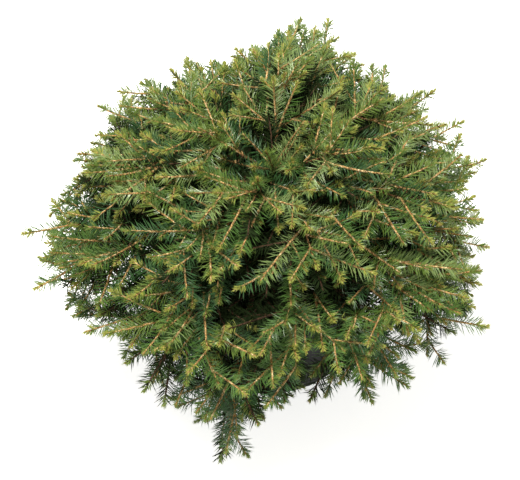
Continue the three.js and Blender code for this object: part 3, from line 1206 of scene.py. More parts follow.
class Sheet:
    """A Geometry Nodes tree under construction."""

    def __init__(self, name: str) -> None:
        """Start a tree that takes and gives a geometry.

        Args:
            name: The tree's name.
        """
        self.tree = bpy.data.node_groups.new(name, "GeometryNodeTree")
        for way in ("INPUT", "OUTPUT"):
            self.tree.interface.new_socket("Geometry", in_out=way, socket_type="NodeSocketGeometry")
        self.start = self.tree.nodes.new("NodeGroupInput")
        self.end = self.tree.nodes.new("NodeGroupOutput")

    def size(self, name: str, kind: str, value: object = None) -> Socket:
        """Add a named input.

        Args:
            name: Its name.
            kind: Its type, such as Float.
            value: What it starts at, for a number.

        Returns:
            The socket that gives its value.
        """
        made = self.tree.interface.new_socket(name, in_out="INPUT", socket_type=f"NodeSocket{kind}")
        if value is not None:
            made.default_value = value
        return self.start.outputs[name]

    def fill(self, socket: Socket, value: object) -> None:
        """Give a socket its value.

        Args:
            socket: The socket.
            value: A value, or a socket to link it to.
        """
        if isinstance(value, Socket):
            self.tree.links.new(value, socket)
        else:
            socket.default_value = value

    def add(self, kind: str, settings: dict | None = None, **inputs: object) -> Socket:
        """Add a node.

        Args:
            kind: The node's type.
            settings: Properties to set on it.
            inputs: Values or sockets for its inputs, by name, with _ for a space.

        Returns:
            Its first shown output.
        """
        made = self.tree.nodes.new(kind)
        for name, value in (settings or {}).items():
            setattr(made, name, value)
        for name, value in inputs.items():
            wanted = name.replace("_", " ")
            self.fill(next(s for s in made.inputs if s.name == wanted and s.enabled), value)
        return next(s for s in made.outputs if s.enabled)

    def worked(self, kind: str, operation: str, values: tuple) -> Socket:
        """Add a node that works something out.

        Args:
            kind: The node's type.
            operation: What it does.
            values: Values or sockets for its first inputs, in order.

        Returns:
            Its first output.
        """
        made = self.tree.nodes.new(kind)
        made.operation = operation
        for socket, value in zip(made.inputs, values):
            self.fill(socket, value)
        return made.outputs[0]

    def math(self, operation: str, *values: object) -> Socket:
        """Return what an operation makes of numbers."""
        return self.worked("ShaderNodeMath", operation, values)

    def vector(self, operation: str, *values: object) -> Socket:
        """Return what an operation makes of vectors."""
        return self.worked("ShaderNodeVectorMath", operation, values)

    def scaled(self, vector: Socket, scale: Socket) -> Socket:
        """Return a vector times a number."""
        return self.add("ShaderNodeVectorMath", {"operation": "SCALE"}, Vector=vector, Scale=scale)

    def swung(self, vector: Socket, cosine: Socket, other: Socket, sine: Socket) -> Socket:
        """Return the sum of two vectors, each times its own number."""
        return self.vector("ADD", self.scaled(vector, cosine), self.scaled(other, sine))

    def between(self, low: object, high: object, share: Socket) -> Socket:
        """Return the number at a share of the way from low to high."""
        return self.math("MULTIPLY_ADD", self.math("SUBTRACT", high, low), share, low)

    def chance(self, seed: Socket, step: int) -> Socket:
        """Return a random number from 0 to 1 for each point, from the seed and a fixed step."""
        number = self.math("ADD", seed, float(step))
        return self.add("FunctionNodeRandomValue", {"data_type": "FLOAT"}, Min=0.0, Max=1.0, Seed=number)

    def named(self, name: str, kind: str = "FLOAT") -> Socket:
        """Return a named attribute."""
        return self.add("GeometryNodeInputNamedAttribute", {"data_type": kind}, Name=name)

    def strewn(self, points: Socket, shape: Socket, **inputs: object) -> Socket:
        """Set copies of an object's mesh on points.

        Args:
            points: The points.
            shape: The input that names the object.
            inputs: The copies' Rotation and Scale, and a Selection of the points.

        Returns:
            The instances.
        """
        info = self.tree.nodes.new("GeometryNodeObjectInfo")
        self.fill(info.inputs["Object"], shape)
        copied = info.outputs["Geometry"]
        return self.add("GeometryNodeInstanceOnPoints", Points=points, Instance=copied, **inputs)

    def finish(self, geometry: Socket, material: Socket) -> bpy.types.NodeTree:
        """End the tree.

        Args:
            geometry: What it has made, of which the instances become real.
            material: The material that this gets.

        Returns:
            The tree.
        """
        real = self.add("GeometryNodeRealizeInstances", Geometry=geometry)
        self.fill(self.end.inputs[0], self.add("GeometryNodeSetMaterial", Geometry=real, Material=material))
        return self.tree


# How much copies differ in size, and the least upward share of a soil face that carries crumbs.
NEEDLE_LENGTHS = (0.82, 1.12)
BUD_SIZES = (0.8, 1.25)
CRUMB_SIZES = (0.4, 1.3)
CRUMB_HEIGHTS = (0.5, 1.0)
SOIL_SLOPE = 0.6


def needle_tree() -> bpy.types.NodeTree:
    """Build the tree that sets needles along shoots, parted above so that the bark shows.

    Returns:
        The tree. Its lines carry up, the upper side's direction, size, a factor for the needles' length, and
        ranked, the power that draws the needles down to the shoot's two sides.
    """
    sheet = Sheet("Needles along shoots")
    spacing = sheet.size("Spacing", "Float", 0.0007)
    length = sheet.size("Length", "Float", 0.012)
    width = sheet.size("Width", "Float", 0.001)
    root_lean = sheet.size("Root Lean", "Float", 1.0)
    tip_lean = sheet.size("Tip Lean", "Float", 0.5)
    lowest = sheet.size("Lowest", "Float", -1.2)
    highest = sheet.size("Highest", "Float", 0.9)
    ragged = sheet.size("Ragged", "Float", 0.2)
    seed = sheet.size("Seed", "Int", 1)
    needle = sheet.size("Needle", "Object")
    finish = sheet.size("Finish", "Material")
    lines = sheet.add("GeometryNodeMeshToCurve", Mesh=sheet.start.outputs["Geometry"])
    lines = sheet.add("GeometryNodeResampleCurve", {"mode": "LENGTH"}, Curve=lines, Length=spacing)
    share = sheet.add("GeometryNodeSplineParameter")
    along = sheet.add("GeometryNodeInputTangent")
    up = sheet.named("up", "FLOAT_VECTOR")
    side = sheet.vector("NORMALIZE", sheet.vector("CROSS_PRODUCT", along, up))
    turn = sheet.between(lowest, highest, sheet.math("POWER", sheet.chance(seed, 1), sheet.named("ranked")))
    flip = sheet.math("MULTIPLY_ADD", sheet.math("GREATER_THAN", sheet.chance(seed, 2), 0.5), 2.0, -1.0)
    across = sheet.math("MULTIPLY", sheet.math("COSINE", turn), flip)
    out = sheet.swung(side, across, up, sheet.math("SINE", turn))
    wobble = sheet.math("MULTIPLY", ragged, sheet.between(-1.0, 1.0, sheet.chance(seed, 4)))
    lean = sheet.math("ADD", sheet.between(root_lean, tip_lean, share), wobble)
    way = sheet.swung(along, sheet.math("COSINE", lean), out, sheet.math("SINE", lean))
    turned = sheet.add("FunctionNodeAlignRotationToVector", {"axis": "Z"}, Vector=way)
    keel_up = {"axis": "Y", "pivot_axis": "Z"}
    turned = sheet.add("FunctionNodeAlignRotationToVector", keel_up, Rotation=turned, Vector=up)
    long = sheet.math("MULTIPLY", length, sheet.named("size"))
    long = sheet.math("MULTIPLY", long, sheet.between(*NEEDLE_LENGTHS, sheet.chance(seed, 5)))
    scale = sheet.add("ShaderNodeCombineXYZ", X=width, Y=width, Z=long)
    return sheet.finish(sheet.strewn(lines, needle, Rotation=turned, Scale=scale), finish)


def twig_tree() -> bpy.types.NodeTree:
    """Build the tree that turns lines into round twigs.

    Returns:
        The tree. Its lines carry girth, the twig's radius.
    """
    sheet = Sheet("Bark round shoots")
    sides = sheet.size("Sides", "Int", 5)
    finish = sheet.size("Finish", "Material")
    lines = sheet.add("GeometryNodeMeshToCurve", Mesh=sheet.start.outputs["Geometry"])
    ring = sheet.add("GeometryNodeCurvePrimitiveCircle", Resolution=sides, Radius=1.0)
    girth = sheet.named("girth")
    tubes = sheet.add("GeometryNodeCurveToMesh", Curve=lines, Profile_Curve=ring, Scale=girth, Fill_Caps=True)
    return sheet.finish(tubes, finish)


def bud_tree() -> bpy.types.NodeTree:
    """Build the tree that sets a bud on the end of each shoot.

    Returns:
        The tree.
    """
    sheet = Sheet("Buds on shoots")
    size = sheet.size("Size", "Float", 0.002)
    seed = sheet.size("Seed", "Int", 1)
    bud = sheet.size("Bud", "Object")
    finish = sheet.size("Finish", "Material")
    lines = sheet.add("GeometryNodeMeshToCurve", Mesh=sheet.start.outputs["Geometry"])
    ends = sheet.add("GeometryNodeCurveEndpointSelection", Start_Size=0, End_Size=1)
    along = sheet.add("GeometryNodeInputTangent")
    turned = sheet.add("FunctionNodeAlignRotationToVector", {"axis": "Z"}, Vector=along)
    size = sheet.math("MULTIPLY", size, sheet.between(*BUD_SIZES, sheet.chance(seed, 1)))
    scale = sheet.add("ShaderNodeCombineXYZ", X=size, Y=size, Z=size)
    return sheet.finish(sheet.strewn(lines, bud, Selection=ends, Rotation=turned, Scale=scale), finish)


def crumb_tree() -> bpy.types.NodeTree:
    """Build the tree that strews crumbs over the upward faces of the soil.

    Returns:
        The tree.
    """
    sheet = Sheet("Crumbs on the soil")
    density = sheet.size("Density", "Float", 20000.0)
    size = sheet.size("Size", "Float", 0.003)
    seed = sheet.size("Seed", "Int", 1)
    crumb = sheet.size("Crumb", "Object")
    finish = sheet.size("Finish", "Material")
    split = sheet.tree.nodes.new("ShaderNodeSeparateXYZ")
    sheet.fill(split.inputs[0], sheet.add("GeometryNodeInputNormal"))
    points = sheet.add(
        "GeometryNodeDistributePointsOnFaces",
        Mesh=sheet.start.outputs["Geometry"],
        Selection=sheet.math("GREATER_THAN", split.outputs["Z"], SOIL_SLOPE),
        Density=density,
        Seed=seed,
    )
    three = {"data_type": "FLOAT_VECTOR"}
    spin = sheet.add("FunctionNodeRandomValue", three, Max=(FULL_TURN,) * 3, Seed=seed)
    turned = sheet.add("FunctionNodeEulerToRotation", Euler=spin)
    wide = sheet.math("MULTIPLY", size, sheet.between(*CRUMB_SIZES, sheet.chance(seed, 2)))
    flat = sheet.math("MULTIPLY", wide, sheet.between(*CRUMB_HEIGHTS, sheet.chance(seed, 3)))
    scale = sheet.add("ShaderNodeCombineXYZ", X=wide, Y=wide, Z=flat)
    return sheet.finish(sheet.strewn(points, crumb, Rotation=turned, Scale=scale), finish)


# Making and placing pieces.


def linked(name: str, data: bpy.types.ID) -> bpy.types.Object:
    """Make an object of a mesh, a camera or a lamp.

    Args:
        name: The object's name.
        data: What it shows.

    Returns:
        The object, in the scene.
    """
    made = bpy.data.objects.new(name, data)
    bpy.context.scene.collection.objects.link(made)
    return made


def mesh_object(name: str, points: np.ndarray, faces: list, edges: list = ()) -> bpy.types.Object:
    """Make an object from points in millimetres.

    Args:
        name: The object's name.
        points: Rows of points.
        faces: Faces, as lists of point numbers.
        edges: Edges, where there are no faces.

    Returns:
        The object, with its place in its mesh.
    """
    mesh = bpy.data.meshes.new(name)
    mesh.from_pydata((points * MM).tolist(), list(edges), list(faces))
    mesh.update()
    return linked(name, mesh)


def band(rings: int, sides: int, first: int = 0) -> list[list[int]]:
    """Lay four-sided faces between rings of points that follow each other.

    Args:
        rings: How many rings there are.
        sides: How many points each has.
        first: The number of the first ring's first point.

    Returns:
        The faces.
    """
    return [
        [start + k, start + (k + 1) % sides, start + sides + (k + 1) % sides, start + sides + k]
        for start in range(first, first + (rings - 1) * sides, sides)
        for k in range(sides)
    ]


def forget(thing: bpy.types.Object) -> None:
    """Remove a helper object."""
    bpy.data.objects.remove(thing)


def evaluated(source: bpy.types.Object) -> bpy.types.Mesh:
    """Return a plain mesh of an object as its modifiers leave it."""
    shown = bpy.context.evaluated_depsgraph_get()
    return bpy.data.meshes.new_from_object(source.evaluated_get(shown))


def grown(name: str, source: bpy.types.Object, tree: bpy.types.NodeTree, inputs: dict) -> bpy.types.Object:
    """Run a Geometry Nodes tree on an object and keep the result as a plain mesh.

    Args:
        name: The new piece's name.
        source: The object that the tree runs on. It is removed.
        tree: The tree.
        inputs: Values for the tree's named inputs.

    Returns:
        The new object.
    """
    modifier = source.modifiers.new("Grow", "NODES")
    modifier.node_group = tree
    known = {s.name: s.identifier for s in tree.interface.items_tree if s.in_out == "INPUT"}
    for label, value in inputs.items():
        modifier[known[label]] = value
    mesh = evaluated(source)
    source.modifiers.remove(modifier)
    forget(source)
    mesh.name = name
    for attribute in [a.name for a in mesh.attributes if a.name in ("up", "size", "girth", "ranked")]:
        mesh.attributes.remove(mesh.attributes[attribute])
    return linked(name, mesh)


def settle(piece: bpy.types.Object, nodes: list[str]) -> None:
    """Put a finished piece on the body, in the place of its CAD nodes.

    Args:
        piece: The finished piece.
        nodes: The CAD nodes that it stands for.
    """
    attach(piece, BODY)
    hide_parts(*nodes)
    piece.data.calc_loop_triangles()
    log.info("%s: %d triangles", piece.name, len(piece.data.loop_triangles))


def smooth(piece: bpy.types.Object) -> None:
    """Shade a piece smoothly."""
    piece.data.polygons.foreach_set("use_smooth", [True] * len(piece.data.polygons))


# The pot and its soil.


@dataclass
class Pot:
    """The nursery pot: tapered wall, rolled rim, stepped foot, shallow bands and drainage holes."""

    sizes: PotSizes = POT
    sides: int = 120
    foot_flat: float = 6
    foot_round: float = 1.5
    step_ease: float = 0.8
    step_corner: float = 0.9
    bands: tuple[float, ...] = (34, 38, 104, 108)
    band_height: float = 0.7
    band_step: float = 0.8
    lip_round: float = 1.2
    lip_ease: tuple[float, float] = (0.3, 1)
    rim_round: float = 2
    bore_round: float = 1
    sharp: float = 35
    drill_sides: int = 24
    drill_over: float = 4
    finish: PlasticFinish = PlasticFinish()

    def arc(self, centre: tuple[float, float], radius: float, first: float, last: float, count: int) -> list:
        """Round an edge of the profile.

        Args:
            centre: The arc's middle.
            radius: Its radius.
            first: Where it starts, in degrees.
            last: Where it ends.
            count: How many steps it has.

        Returns:
            Its points.
        """
        angles = [math.radians(lerp(first, last, i / count)) for i in range(count + 1)]
        return [(centre[0] + radius * math.cos(a), centre[1] + radius * math.sin(a)) for a in angles]

    def profile(self) -> list[tuple[float, float]]:
        """Draw the closed profile.

        Returns:
            Radii and heights, from the middle of the underside round to the middle of the floor.
        """
        s = self.sizes
        foot = s.radius(0) - s.step_depth
        over = s.step_height + s.step_depth
        under = s.height - s.lip_depth
        rows = [(0.0, 0.0), (foot - self.foot_flat, 0.0)]
        rows += self.arc((foot - self.foot_round, self.foot_round), self.foot_round, -90, 0, 5)
        rows.append((s.radius(s.step_height) - s.step_depth, s.step_height - self.step_ease))
        rows += [(s.radius(over) - self.step_ease, over - self.step_corner), (s.radius(over), over)]
        for height in self.bands:
            wall, step = s.radius(height), self.band_step
            rows += [(wall, height), (wall + self.band_height, height + step)]
            rows += [(wall + self.band_height, height + 2 * step), (wall, height + 3 * step)]
        lip, out, down = s.radius(under) + s.lip - self.lip_round, *self.lip_ease
        rows.append((s.radius(under) + out, under - down))
        rows += self.arc((lip, under + self.lip_round), self.lip_round, -90, 0, 4)
        outer, inner = s.rim_radius + s.lip, s.rim_radius - s.wall
        rim, bore = self.rim_round, self.bore_round
        rows += self.arc((outer - rim, s.height - rim), rim, 0, 90, 6)
        rows += self.arc((inner + bore, s.height - bore), bore, 90, 180, 4)
        rows += [(s.radius(over) - s.wall, over), (s.radius(s.floor) - s.step_depth - s.wall, s.floor)]
        return rows + [(0.0, s.floor)]

    def build(self) -> bpy.types.Object:
        """Spin the profile and drill the floor.

        Returns:
            The pot.
        """
        n, rows = self.sides, self.profile()[1:-1]
        points = [polar(360 * k / n, radius, height) for radius, height in rows for k in range(n)]
        points += [(0, 0, 0), (0, 0, self.sizes.floor)]
        start, low, high = (len(rows) - 1) * n, len(points) - 2, len(points) - 1
        faces = band(len(rows), n)
        faces += [[low, (k + 1) % n, k] for k in range(n)]
        faces += [[high, start + k, start + (k + 1) % n] for k in range(n)]
        pot = mesh_object("nursery_pot_drilled", np.array(points), faces)
        for i in range(self.sizes.holes):
            drill = self.drill(i)
            cut = pot.modifiers.new("Hole", "BOOLEAN")
            cut.object = drill
            cut.operation = "DIFFERENCE"
            cut.solver = "EXACT"
            mesh = evaluated(pot)
            pot.modifiers.remove(cut)
            pot.data = mesh
            forget(drill)
        pot.name = "nursery_pot"
        pot.data.materials.clear()
        pot.data.materials.append(self.finish.make())
        smooth(pot)
        pot.data.set_sharp_from_angle(angle=math.radians(self.sharp))
        return pot

    def drill(self, number: int) -> bpy.types.Object:
        """Make the round drill for one drainage hole.

        Args:
            number: Which hole it is for, from zero.

        Returns:
            The drill, which reaches out of the floor on both sides.
        """
        s, n = self.sizes, self.drill_sides
        centre = polar(360 * (number + 0.5) / s.holes, s.hole_ring, 0)
        ends = (-self.drill_over, self.drill_over + s.floor)
        points = [centre + polar(360 * k / n, s.hole_radius, z) for z in ends for k in range(n)]
        faces = band(2, n) + [list(range(n))[::-1], list(range(n, 2 * n))]
        return mesh_object("drill", np.array(points), faces)


@dataclass
class Soil:
    """The potting soil: a crumbly top with loose crumbs."""

    sizes: PotSizes = POT
    gap: float = 2.36
    rings: int = 34
    sides: int = 110
    relief: float = 1.5
    middle_dip: float = 0.6
    fineness: float = 0.09
    fractal: tuple[float, float, int] = (1.0, 2.0, 5)
    above_floor: float = 0.3
    crumb_density: float = 34000.0
    crumb_size: float = 0.0022
    crumb_seed: int = 5
    finish: PeatFinish = PeatFinish()

    def build(self) -> bpy.types.Object:
        """Build the plug of soil with an uneven top.

        Returns:
            The soil.
        """
        s, n = self.sizes, self.sides
        edge = s.radius(s.soil_top) - self.gap
        points = [np.array([0, 0, s.soil_top - self.middle_dip])]
        for i in range(1, self.rings + 1):
            fade = 1 if i < self.rings else 0
            for k in range(n):
                place = polar(360 * k / n, edge * i / self.rings, s.soil_top)
                height = noise.fractal(Vector(place * self.fineness), *self.fractal)
                place[2] += fade * (self.relief * max(-1.0, min(1.0, height)) - self.relief)
                points.append(place)
        over, bottom = s.step_height + s.step_depth, s.floor + self.above_floor
        lower = [(s.radius(over) - self.gap, over), (s.radius(s.floor) - s.step_depth - self.gap, bottom)]
        for radius, height in lower:
            points += [polar(360 * k / n, radius, height) for k in range(n)]
        points.append(np.array([0, 0, bottom]))
        faces = []
        for k in range(n):
            after = (k + 1) % n
            faces.append([0, 1 + k, 1 + after])
            for i in range(self.rings + 1):
                a, b = 1 + i * n, 1 + (i + 1) * n
                faces.append([a + k, b + k, b + after, a + after])
            end = 1 + (self.rings + 1) * n
            faces.append([end + after, end + k, len(points) - 1])
        soil = mesh_object("potting_soil", np.array(points), faces)
        soil.data.materials.append(self.finish.make())
        smooth(soil)
        return soil

    def crumbs(self, soil: bpy.types.Object) -> bpy.types.Object:
        """Strew loose crumbs on the soil.

        Args:
            soil: The soil.

        Returns:
            The crumbs as one piece.
        """
        crumb = crumb_shape()
        inputs = {
            "Density": self.crumb_density,
            "Size": self.crumb_size,
            "Seed": self.crumb_seed,
            "Crumb": crumb,
            "Finish": soil.data.materials[0],
        }
        made = grown("soil_crumbs", linked("soil_copy", soil.data.copy()), crumb_tree(), inputs)
        forget(crumb)
        return made


def crumb_shape(uneven: float = 0.25, fineness: float = 0.004) -> bpy.types.Object:
    """Make a rough lump, a unit wide, that stands for a crumb of soil.

    Args:
        uneven: How far its points move in and out.
        fineness: How fine the noise is that moves them.

    Returns:
        The lump.
    """
    shape, shift = bmesh.new(), Vector((3, 1, 2))
    bmesh.ops.create_icosphere(shape, subdivisions=1, radius=0.5 / MM)
    for vertex in shape.verts:
        vertex.co *= 1 + uneven * noise.noise(vertex.co * fineness + shift)
    mesh = bpy.data.meshes.new("crumb")
    shape.to_mesh(mesh)
    shape.free()
    mesh.transform(Matrix.Scale(MM, 4))
    made = linked("crumb", mesh)
    made.hide_render = True
    return made


# The wood.


@dataclass(frozen=True)
class Skin:
    """A tube's sides, and the height and fineness of its bark's relief."""

    sides: int
    depth: float
    fineness: float


@dataclass
class Wood:
    """Trunk, boughs and stems, each a tube with the bark's relief."""

    ACROSS = (0.3, 1.0, 0.1)
    crown: Crown
    old: BarkFinish = BarkFinish("old_bark", 0x3A2A1E, 0x6B4E36, 0x8F7459, 260, 210, 1.2)
    young: BarkFinish = BarkFinish("stem_bark", 0x4E3420, 0x7A5633, 0x9A7448, 420, 330, 0.5)
    trunk_skin: Skin = Skin(56, 0.8, 0.16)
    bough_skin: Skin = Skin(14, 0.28, 0.4)
    stem_skin: Skin = Skin(10, 0.16, 0.6)
    fractal: tuple[float, float, int] = (0.9, 2.1, 4)
    scale_fineness: float = 1.3
    scale_share: float = 0.4
    sunk: float = 2.5
    flare_height: float = 18
    flare_rings: int = 15
    trunk_rings: int = 44
    above_fork: float = 3
    crest_start: float = 2
    crest_depth: float = 5
    crest_least: float = 0.04
    bough_radii: tuple[float, float] = (3.1, 2.2)
    bough_ring: float = 1.6
    bough_rings: int = 14
    stem_radii: tuple[float, float] = (2.2, 1.0)
    stem_ring: float = 2.5
    stem_rings: int = 20
    stem_part: tuple[float, float] = (-0.02, 0.75)
    collar: float = 1.7
    collar_length: float = 7
    slim_above: float = 0.7

    def tube(self, centres: np.ndarray, radii: np.ndarray, skin: Skin) -> Tube:
        """Make a closed tube with a rough skin.

        Args:
            centres: Rows of points of the middle line.
            radii: For each of them a row of radii, one for each side or one for all.
            skin: The tube's skin.

        Returns:
            Points and faces.
        """
        ways = unit(np.gradient(centres, axis=0))
        side = unit(np.cross(ways[0], self.ACROSS))
        points, n = [], skin.sides
        for centre, way, row in zip(centres, ways, np.broadcast_to(radii, (len(centres), n))):
            side = unit(side - way * (side @ way))
            other = np.cross(way, side)
            for k, radius in enumerate(row):
                angle = FULL_TURN * k / n
                out = side * math.cos(angle) + other * math.sin(angle)
                points.append(self.roughened(centre + out * radius, centre, skin))
        last = (len(centres) - 1) * n
        return points, band(len(centres), n) + [list(range(n))[::-1], list(range(last, last + n))]

    def roughened(self, point: np.ndarray, centre: np.ndarray, skin: Skin) -> np.ndarray:
        """Raise or sink a point of a tube by a fixed noise.

        Args:
            point: The point.
            centre: The tube's middle there.
            skin: The tube's skin.

        Returns:
            The new point.
        """
        lift = noise.fractal(Vector(point * skin.fineness), *self.fractal) * skin.depth
        cell = noise.cell(Vector(point * skin.fineness * self.scale_fineness))
        return point + unit(point - centre) * (lift + cell * skin.depth * self.scale_share)

    def piece(self, name: str, tubes: list[Tube], material: bpy.types.Material) -> bpy.types.Object:
        """Join tubes into one piece.

        Args:
            name: The piece's name.
            tubes: Points and faces of each.
            material: Its bark.

        Returns:
            The piece.
        """
        points, faces = [], []
        for tube_points, tube_faces in tubes:
            faces += [[len(points) + i for i in face] for face in tube_faces]
            points += tube_points
        made = mesh_object(name, np.array(points), faces)
        made.data.materials.append(material)
        smooth(made)
        return made

    def trunk_radius(self, height: float, angle: float) -> float:
        """Work out the trunk's radius, with its root flare and its rounded top.

        Args:
            height: Height above the ground.
            angle: Direction in radians.

        Returns:
            The radius.
        """
        up = max(0.0, height - POT.soil_top)
        share = min(1.0, up / (TRUNK.tip - POT.soil_top))
        flare = TRUNK.flare * math.exp(-up / TRUNK.flare_depth)
        flare *= 1 + TRUNK.root_share * math.cos(TRUNK.roots * angle)
        crest = max(0.0, (height - TRUNK.tip + self.crest_start) / self.crest_depth)
        fall = math.sqrt(max(self.crest_least, 1 - crest**2))
        return (lerp(TRUNK.foot_radius, TRUNK.tip_radius, share) + flare) * fall

    def trunk(self) -> bpy.types.Object:
        """Build the trunk, from its flared foot in the soil to its fork.

        Returns:
            The trunk.
        """
        foot, top = POT.soil_top - self.sunk, TRUNK.tip + self.above_fork
        knee, n = foot + self.flare_height, self.trunk_skin.sides
        low = np.linspace(foot, knee, self.flare_rings + 1)[:-1]
        heights = np.concatenate([low, np.linspace(knee, top, self.trunk_rings)])
        centres = np.array([TRUNK.axis(height, POT.soil_top) for height in heights])
        radii = [[self.trunk_radius(height, FULL_TURN * k / n) for k in range(n)] for height in heights]
        tube = self.tube(centres, np.array(radii), self.trunk_skin)
        return self.piece("trunk_bark", [tube], self.old.make())

    def bough(self, mass: Mass) -> Tube:
        """Make a mass's bough, with a collar where it leaves the trunk.

        Args:
            mass: The mass.

        Returns:
            Points and faces.
        """
        length = mass.bough.length()
        shares = np.linspace(0, 1, max(self.bough_rings, round(length / self.bough_ring)))
        radii = []
        for number in range(len(shares)):
            share = number / (len(shares) - 1)
            swell = 1 + (self.collar - 1) * math.exp(-((share * length) / self.collar_length))
            radii.append([lerp(*self.bough_radii, share) * swell])
        return self.tube(mass.bough.at(shares), np.array(radii), self.bough_skin)

    def stem(self, mass: Mass) -> Tube:
        """Make a mass's stem.

        Args:
            mass: The mass.

        Returns:
            Points and faces.
        """
        rings = max(self.stem_rings, round(mass.length / self.stem_ring))
        slim = self.slim_above if mass.tier.tip[1] > TRUNK.tip else 1
        radii = [[slim * lerp(*self.stem_radii, number / rings)] for number in range(rings)]
        return self.tube(mass.stem.at(np.linspace(*self.stem_part, rings)), np.array(radii), self.stem_skin)


# The foliage.


@dataclass(frozen=True)
class NeedleSet:
    """How the needles stand on one part of a shoot. Lengths in millimetres, angles in degrees."""

    spacing: float
    length: float
    width: float
    root_lean: float
    tip_lean: float
    lowest: float
    highest: float
    ragged: float
    ranked: float

    def inputs(self, seed: int, needle: bpy.types.Object, material: bpy.types.Material) -> dict[str, object]:
        """Name the values for the needle tree.

        Args:
            seed: The seed of its random numbers.
            needle: The shape of one needle.
            material: The needles' finish.

        Returns:
            Values by the names of the tree's inputs.
        """
        lengths = {"Spacing": self.spacing, "Length": self.length, "Width": self.width}
        angles = {
            "Root Lean": self.root_lean,
            "Tip Lean": self.tip_lean,
            "Lowest": self.lowest,
            "Highest": self.highest,
            "Ragged": self.ragged,
        }
        values = {name: value * MM for name, value in lengths.items()}
        values |= {name: math.radians(value) for name, value in angles.items()}
        return values | {"Seed": seed, "Needle": needle, "Finish": material}


def helper_shape(name: str, points: list[tuple[float, float, float]], faces: list) -> bpy.types.Object:
    """Make a shape, a unit long, of which the trees set copies.

    Args:
        name: Its name.
        points: Its points.
        faces: Its faces, as lists of point numbers.

    Returns:
        The shape, which isn't rendered itself.
    """
    made = mesh_object(name, np.array(points) / MM, faces)
    made.hide_render = True
    return made


def needle_shape() -> bpy.types.Object:
    """Make one needle, keeled on its +Y side, flat below, with a blunt point.

    Returns:
        The needle.
    """
    outline = [(-0.38, 0, 0), (0.38, 0, 0), (0.5, 0, 0.6), (0.1, 0.3, 1), (-0.5, 0, 0.6)]
    keel = (0, 0.5, 0.45)
    faces = [[k, (k + 1) % 5, 5] for k in range(5)] + [[1, 0, 4], [1, 4, 2], [2, 4, 3]]
    return helper_shape("needle", [*outline, keel], faces)


def bud_shape(sides: int = 5, twist: float = 2) -> bpy.types.Object:
    """Make one plump pointed bud.

    Args:
        sides: How many sides it has.
        twist: How far its rings turn from foot to point, in radians.

    Returns:
        The bud.
    """
    rings = ((0.15, 0.42), (0.5, 0.46), (0.85, 0.24))
    points = [(0.0, 0.0, -0.2)]
    for height, radius in rings:
        for angle in np.arange(sides) * FULL_TURN / sides + height * twist:
            points.append((radius * math.cos(angle), radius * math.sin(angle), height))
    points.append((0.0, 0.0, 1.1))
    last = 1 + (len(rings) - 1) * sides
    faces = [[0, 1 + (k + 1) % sides, 1 + k] for k in range(sides)] + band(len(rings), sides, 1)
    faces += [[last + k, last + (k + 1) % sides, len(points) - 1] for k in range(sides)]
    return helper_shape("bud", points, faces)


class Part(Enum):
    """A part of a shoot."""

    BODY = "from its bare root to its tip"
    TIP = "its tip"
    NEEDLED = "from its bare root to its end"
    WHOLE = "all of it"


@dataclass(frozen=True)
class Dealing:
    """How tints are dealt out to shoots by where they end, as painted shade and painted light.

    Each row of stops gives tints and the chance up to which each is taken. Buried and shaded are depths, zero
    on the crown's axis and one on its skin. Low and high are heights that fall towards the crown's back.
    """

    # Depths below which shoots take darker tints as painted shade.
    buried: float = 0.72
    shaded: float = 0.84
    # Shoots ending below the low height take darker tints as painted shade, those above the high height
    # brighter ones as painted light; both heights fall towards the crown's back.
    low: float = 119
    low_slope: float = 0.16
    high: float = 195
    high_slope: float = 0.5
    low_stops: tuple = ((Tint.DEEP, 0.3), (Tint.BLUE, 0.8), (Tint.MID, 1))
    shaded_stops: tuple = ((Tint.DEEP, 0.4), (Tint.BLUE, 1))
    lit_stops: tuple = ((Tint.MID, 0.54), (Tint.WARM, 0.8), (Tint.BRIGHT, 0.93), (Tint.BLUE, 1))
    high_stops: tuple = ((Tint.MID, 0.22), (Tint.WARM, 0.56), (Tint.BRIGHT, 0.88), (Tint.BLUE, 1))
    tip_stops: tuple = ((Tint.TIP_PALE, 0.6), (Tint.TIP_GREEN, 1))

    def pick(self, stops: tuple, chance: float) -> Tint:
        """Return the tint that a chance from 0 to 1 takes from stops."""
        return next(tint for tint, stop in stops if chance < stop)

    def tints(self, shoot: Shoot, near: float, end: np.ndarray, random: Seeded) -> tuple[Tint, Tint | None]:
        """Deal out the tints of one shoot: darker as painted shade deep in the crown and low down, brighter
        as painted light high up.

        Args:
            shoot: The shoot.
            near: The depth of its end.
            end: Its end.
            random: Where the chances come from.

        Returns:
            The tints of its body and its tip, with none for a tip that isn't fresh.
        """
        chance = random.draw()
        # Shoots buried in the crown, inner shoots and stems take the deepest tint, painted shade, and no
        # fresh tip.
        if near < self.buried or shoot.rank in (Rank.INNER, Rank.STEM):
            return (Tint.DEEP, None)
        # Low shoots take darker tints and green tips as painted shade.
        if end[2] + self.low_slope * end[1] < self.low:
            return (self.pick(self.low_stops, chance), Tint.TIP_GREEN)
        tip = self.pick(self.tip_stops, random.draw())
        if near < self.shaded:
            return (self.pick(self.shaded_stops, chance), tip)
        # High shoots take brighter tints as painted light.
        high = end[2] + self.high_slope * end[1] > self.high
        return (self.pick(self.high_stops if high else self.lit_stops, chance), tip)


@dataclass(frozen=True)
class Growth:
    """A size that grows with a shoot's reach in millimetres, up to its most."""

    least: float
    pace: float
    most: float

    def at(self, reach: float) -> float:
        """Return the size for a reach."""
        return min(self.most, self.least + reach / self.pace)


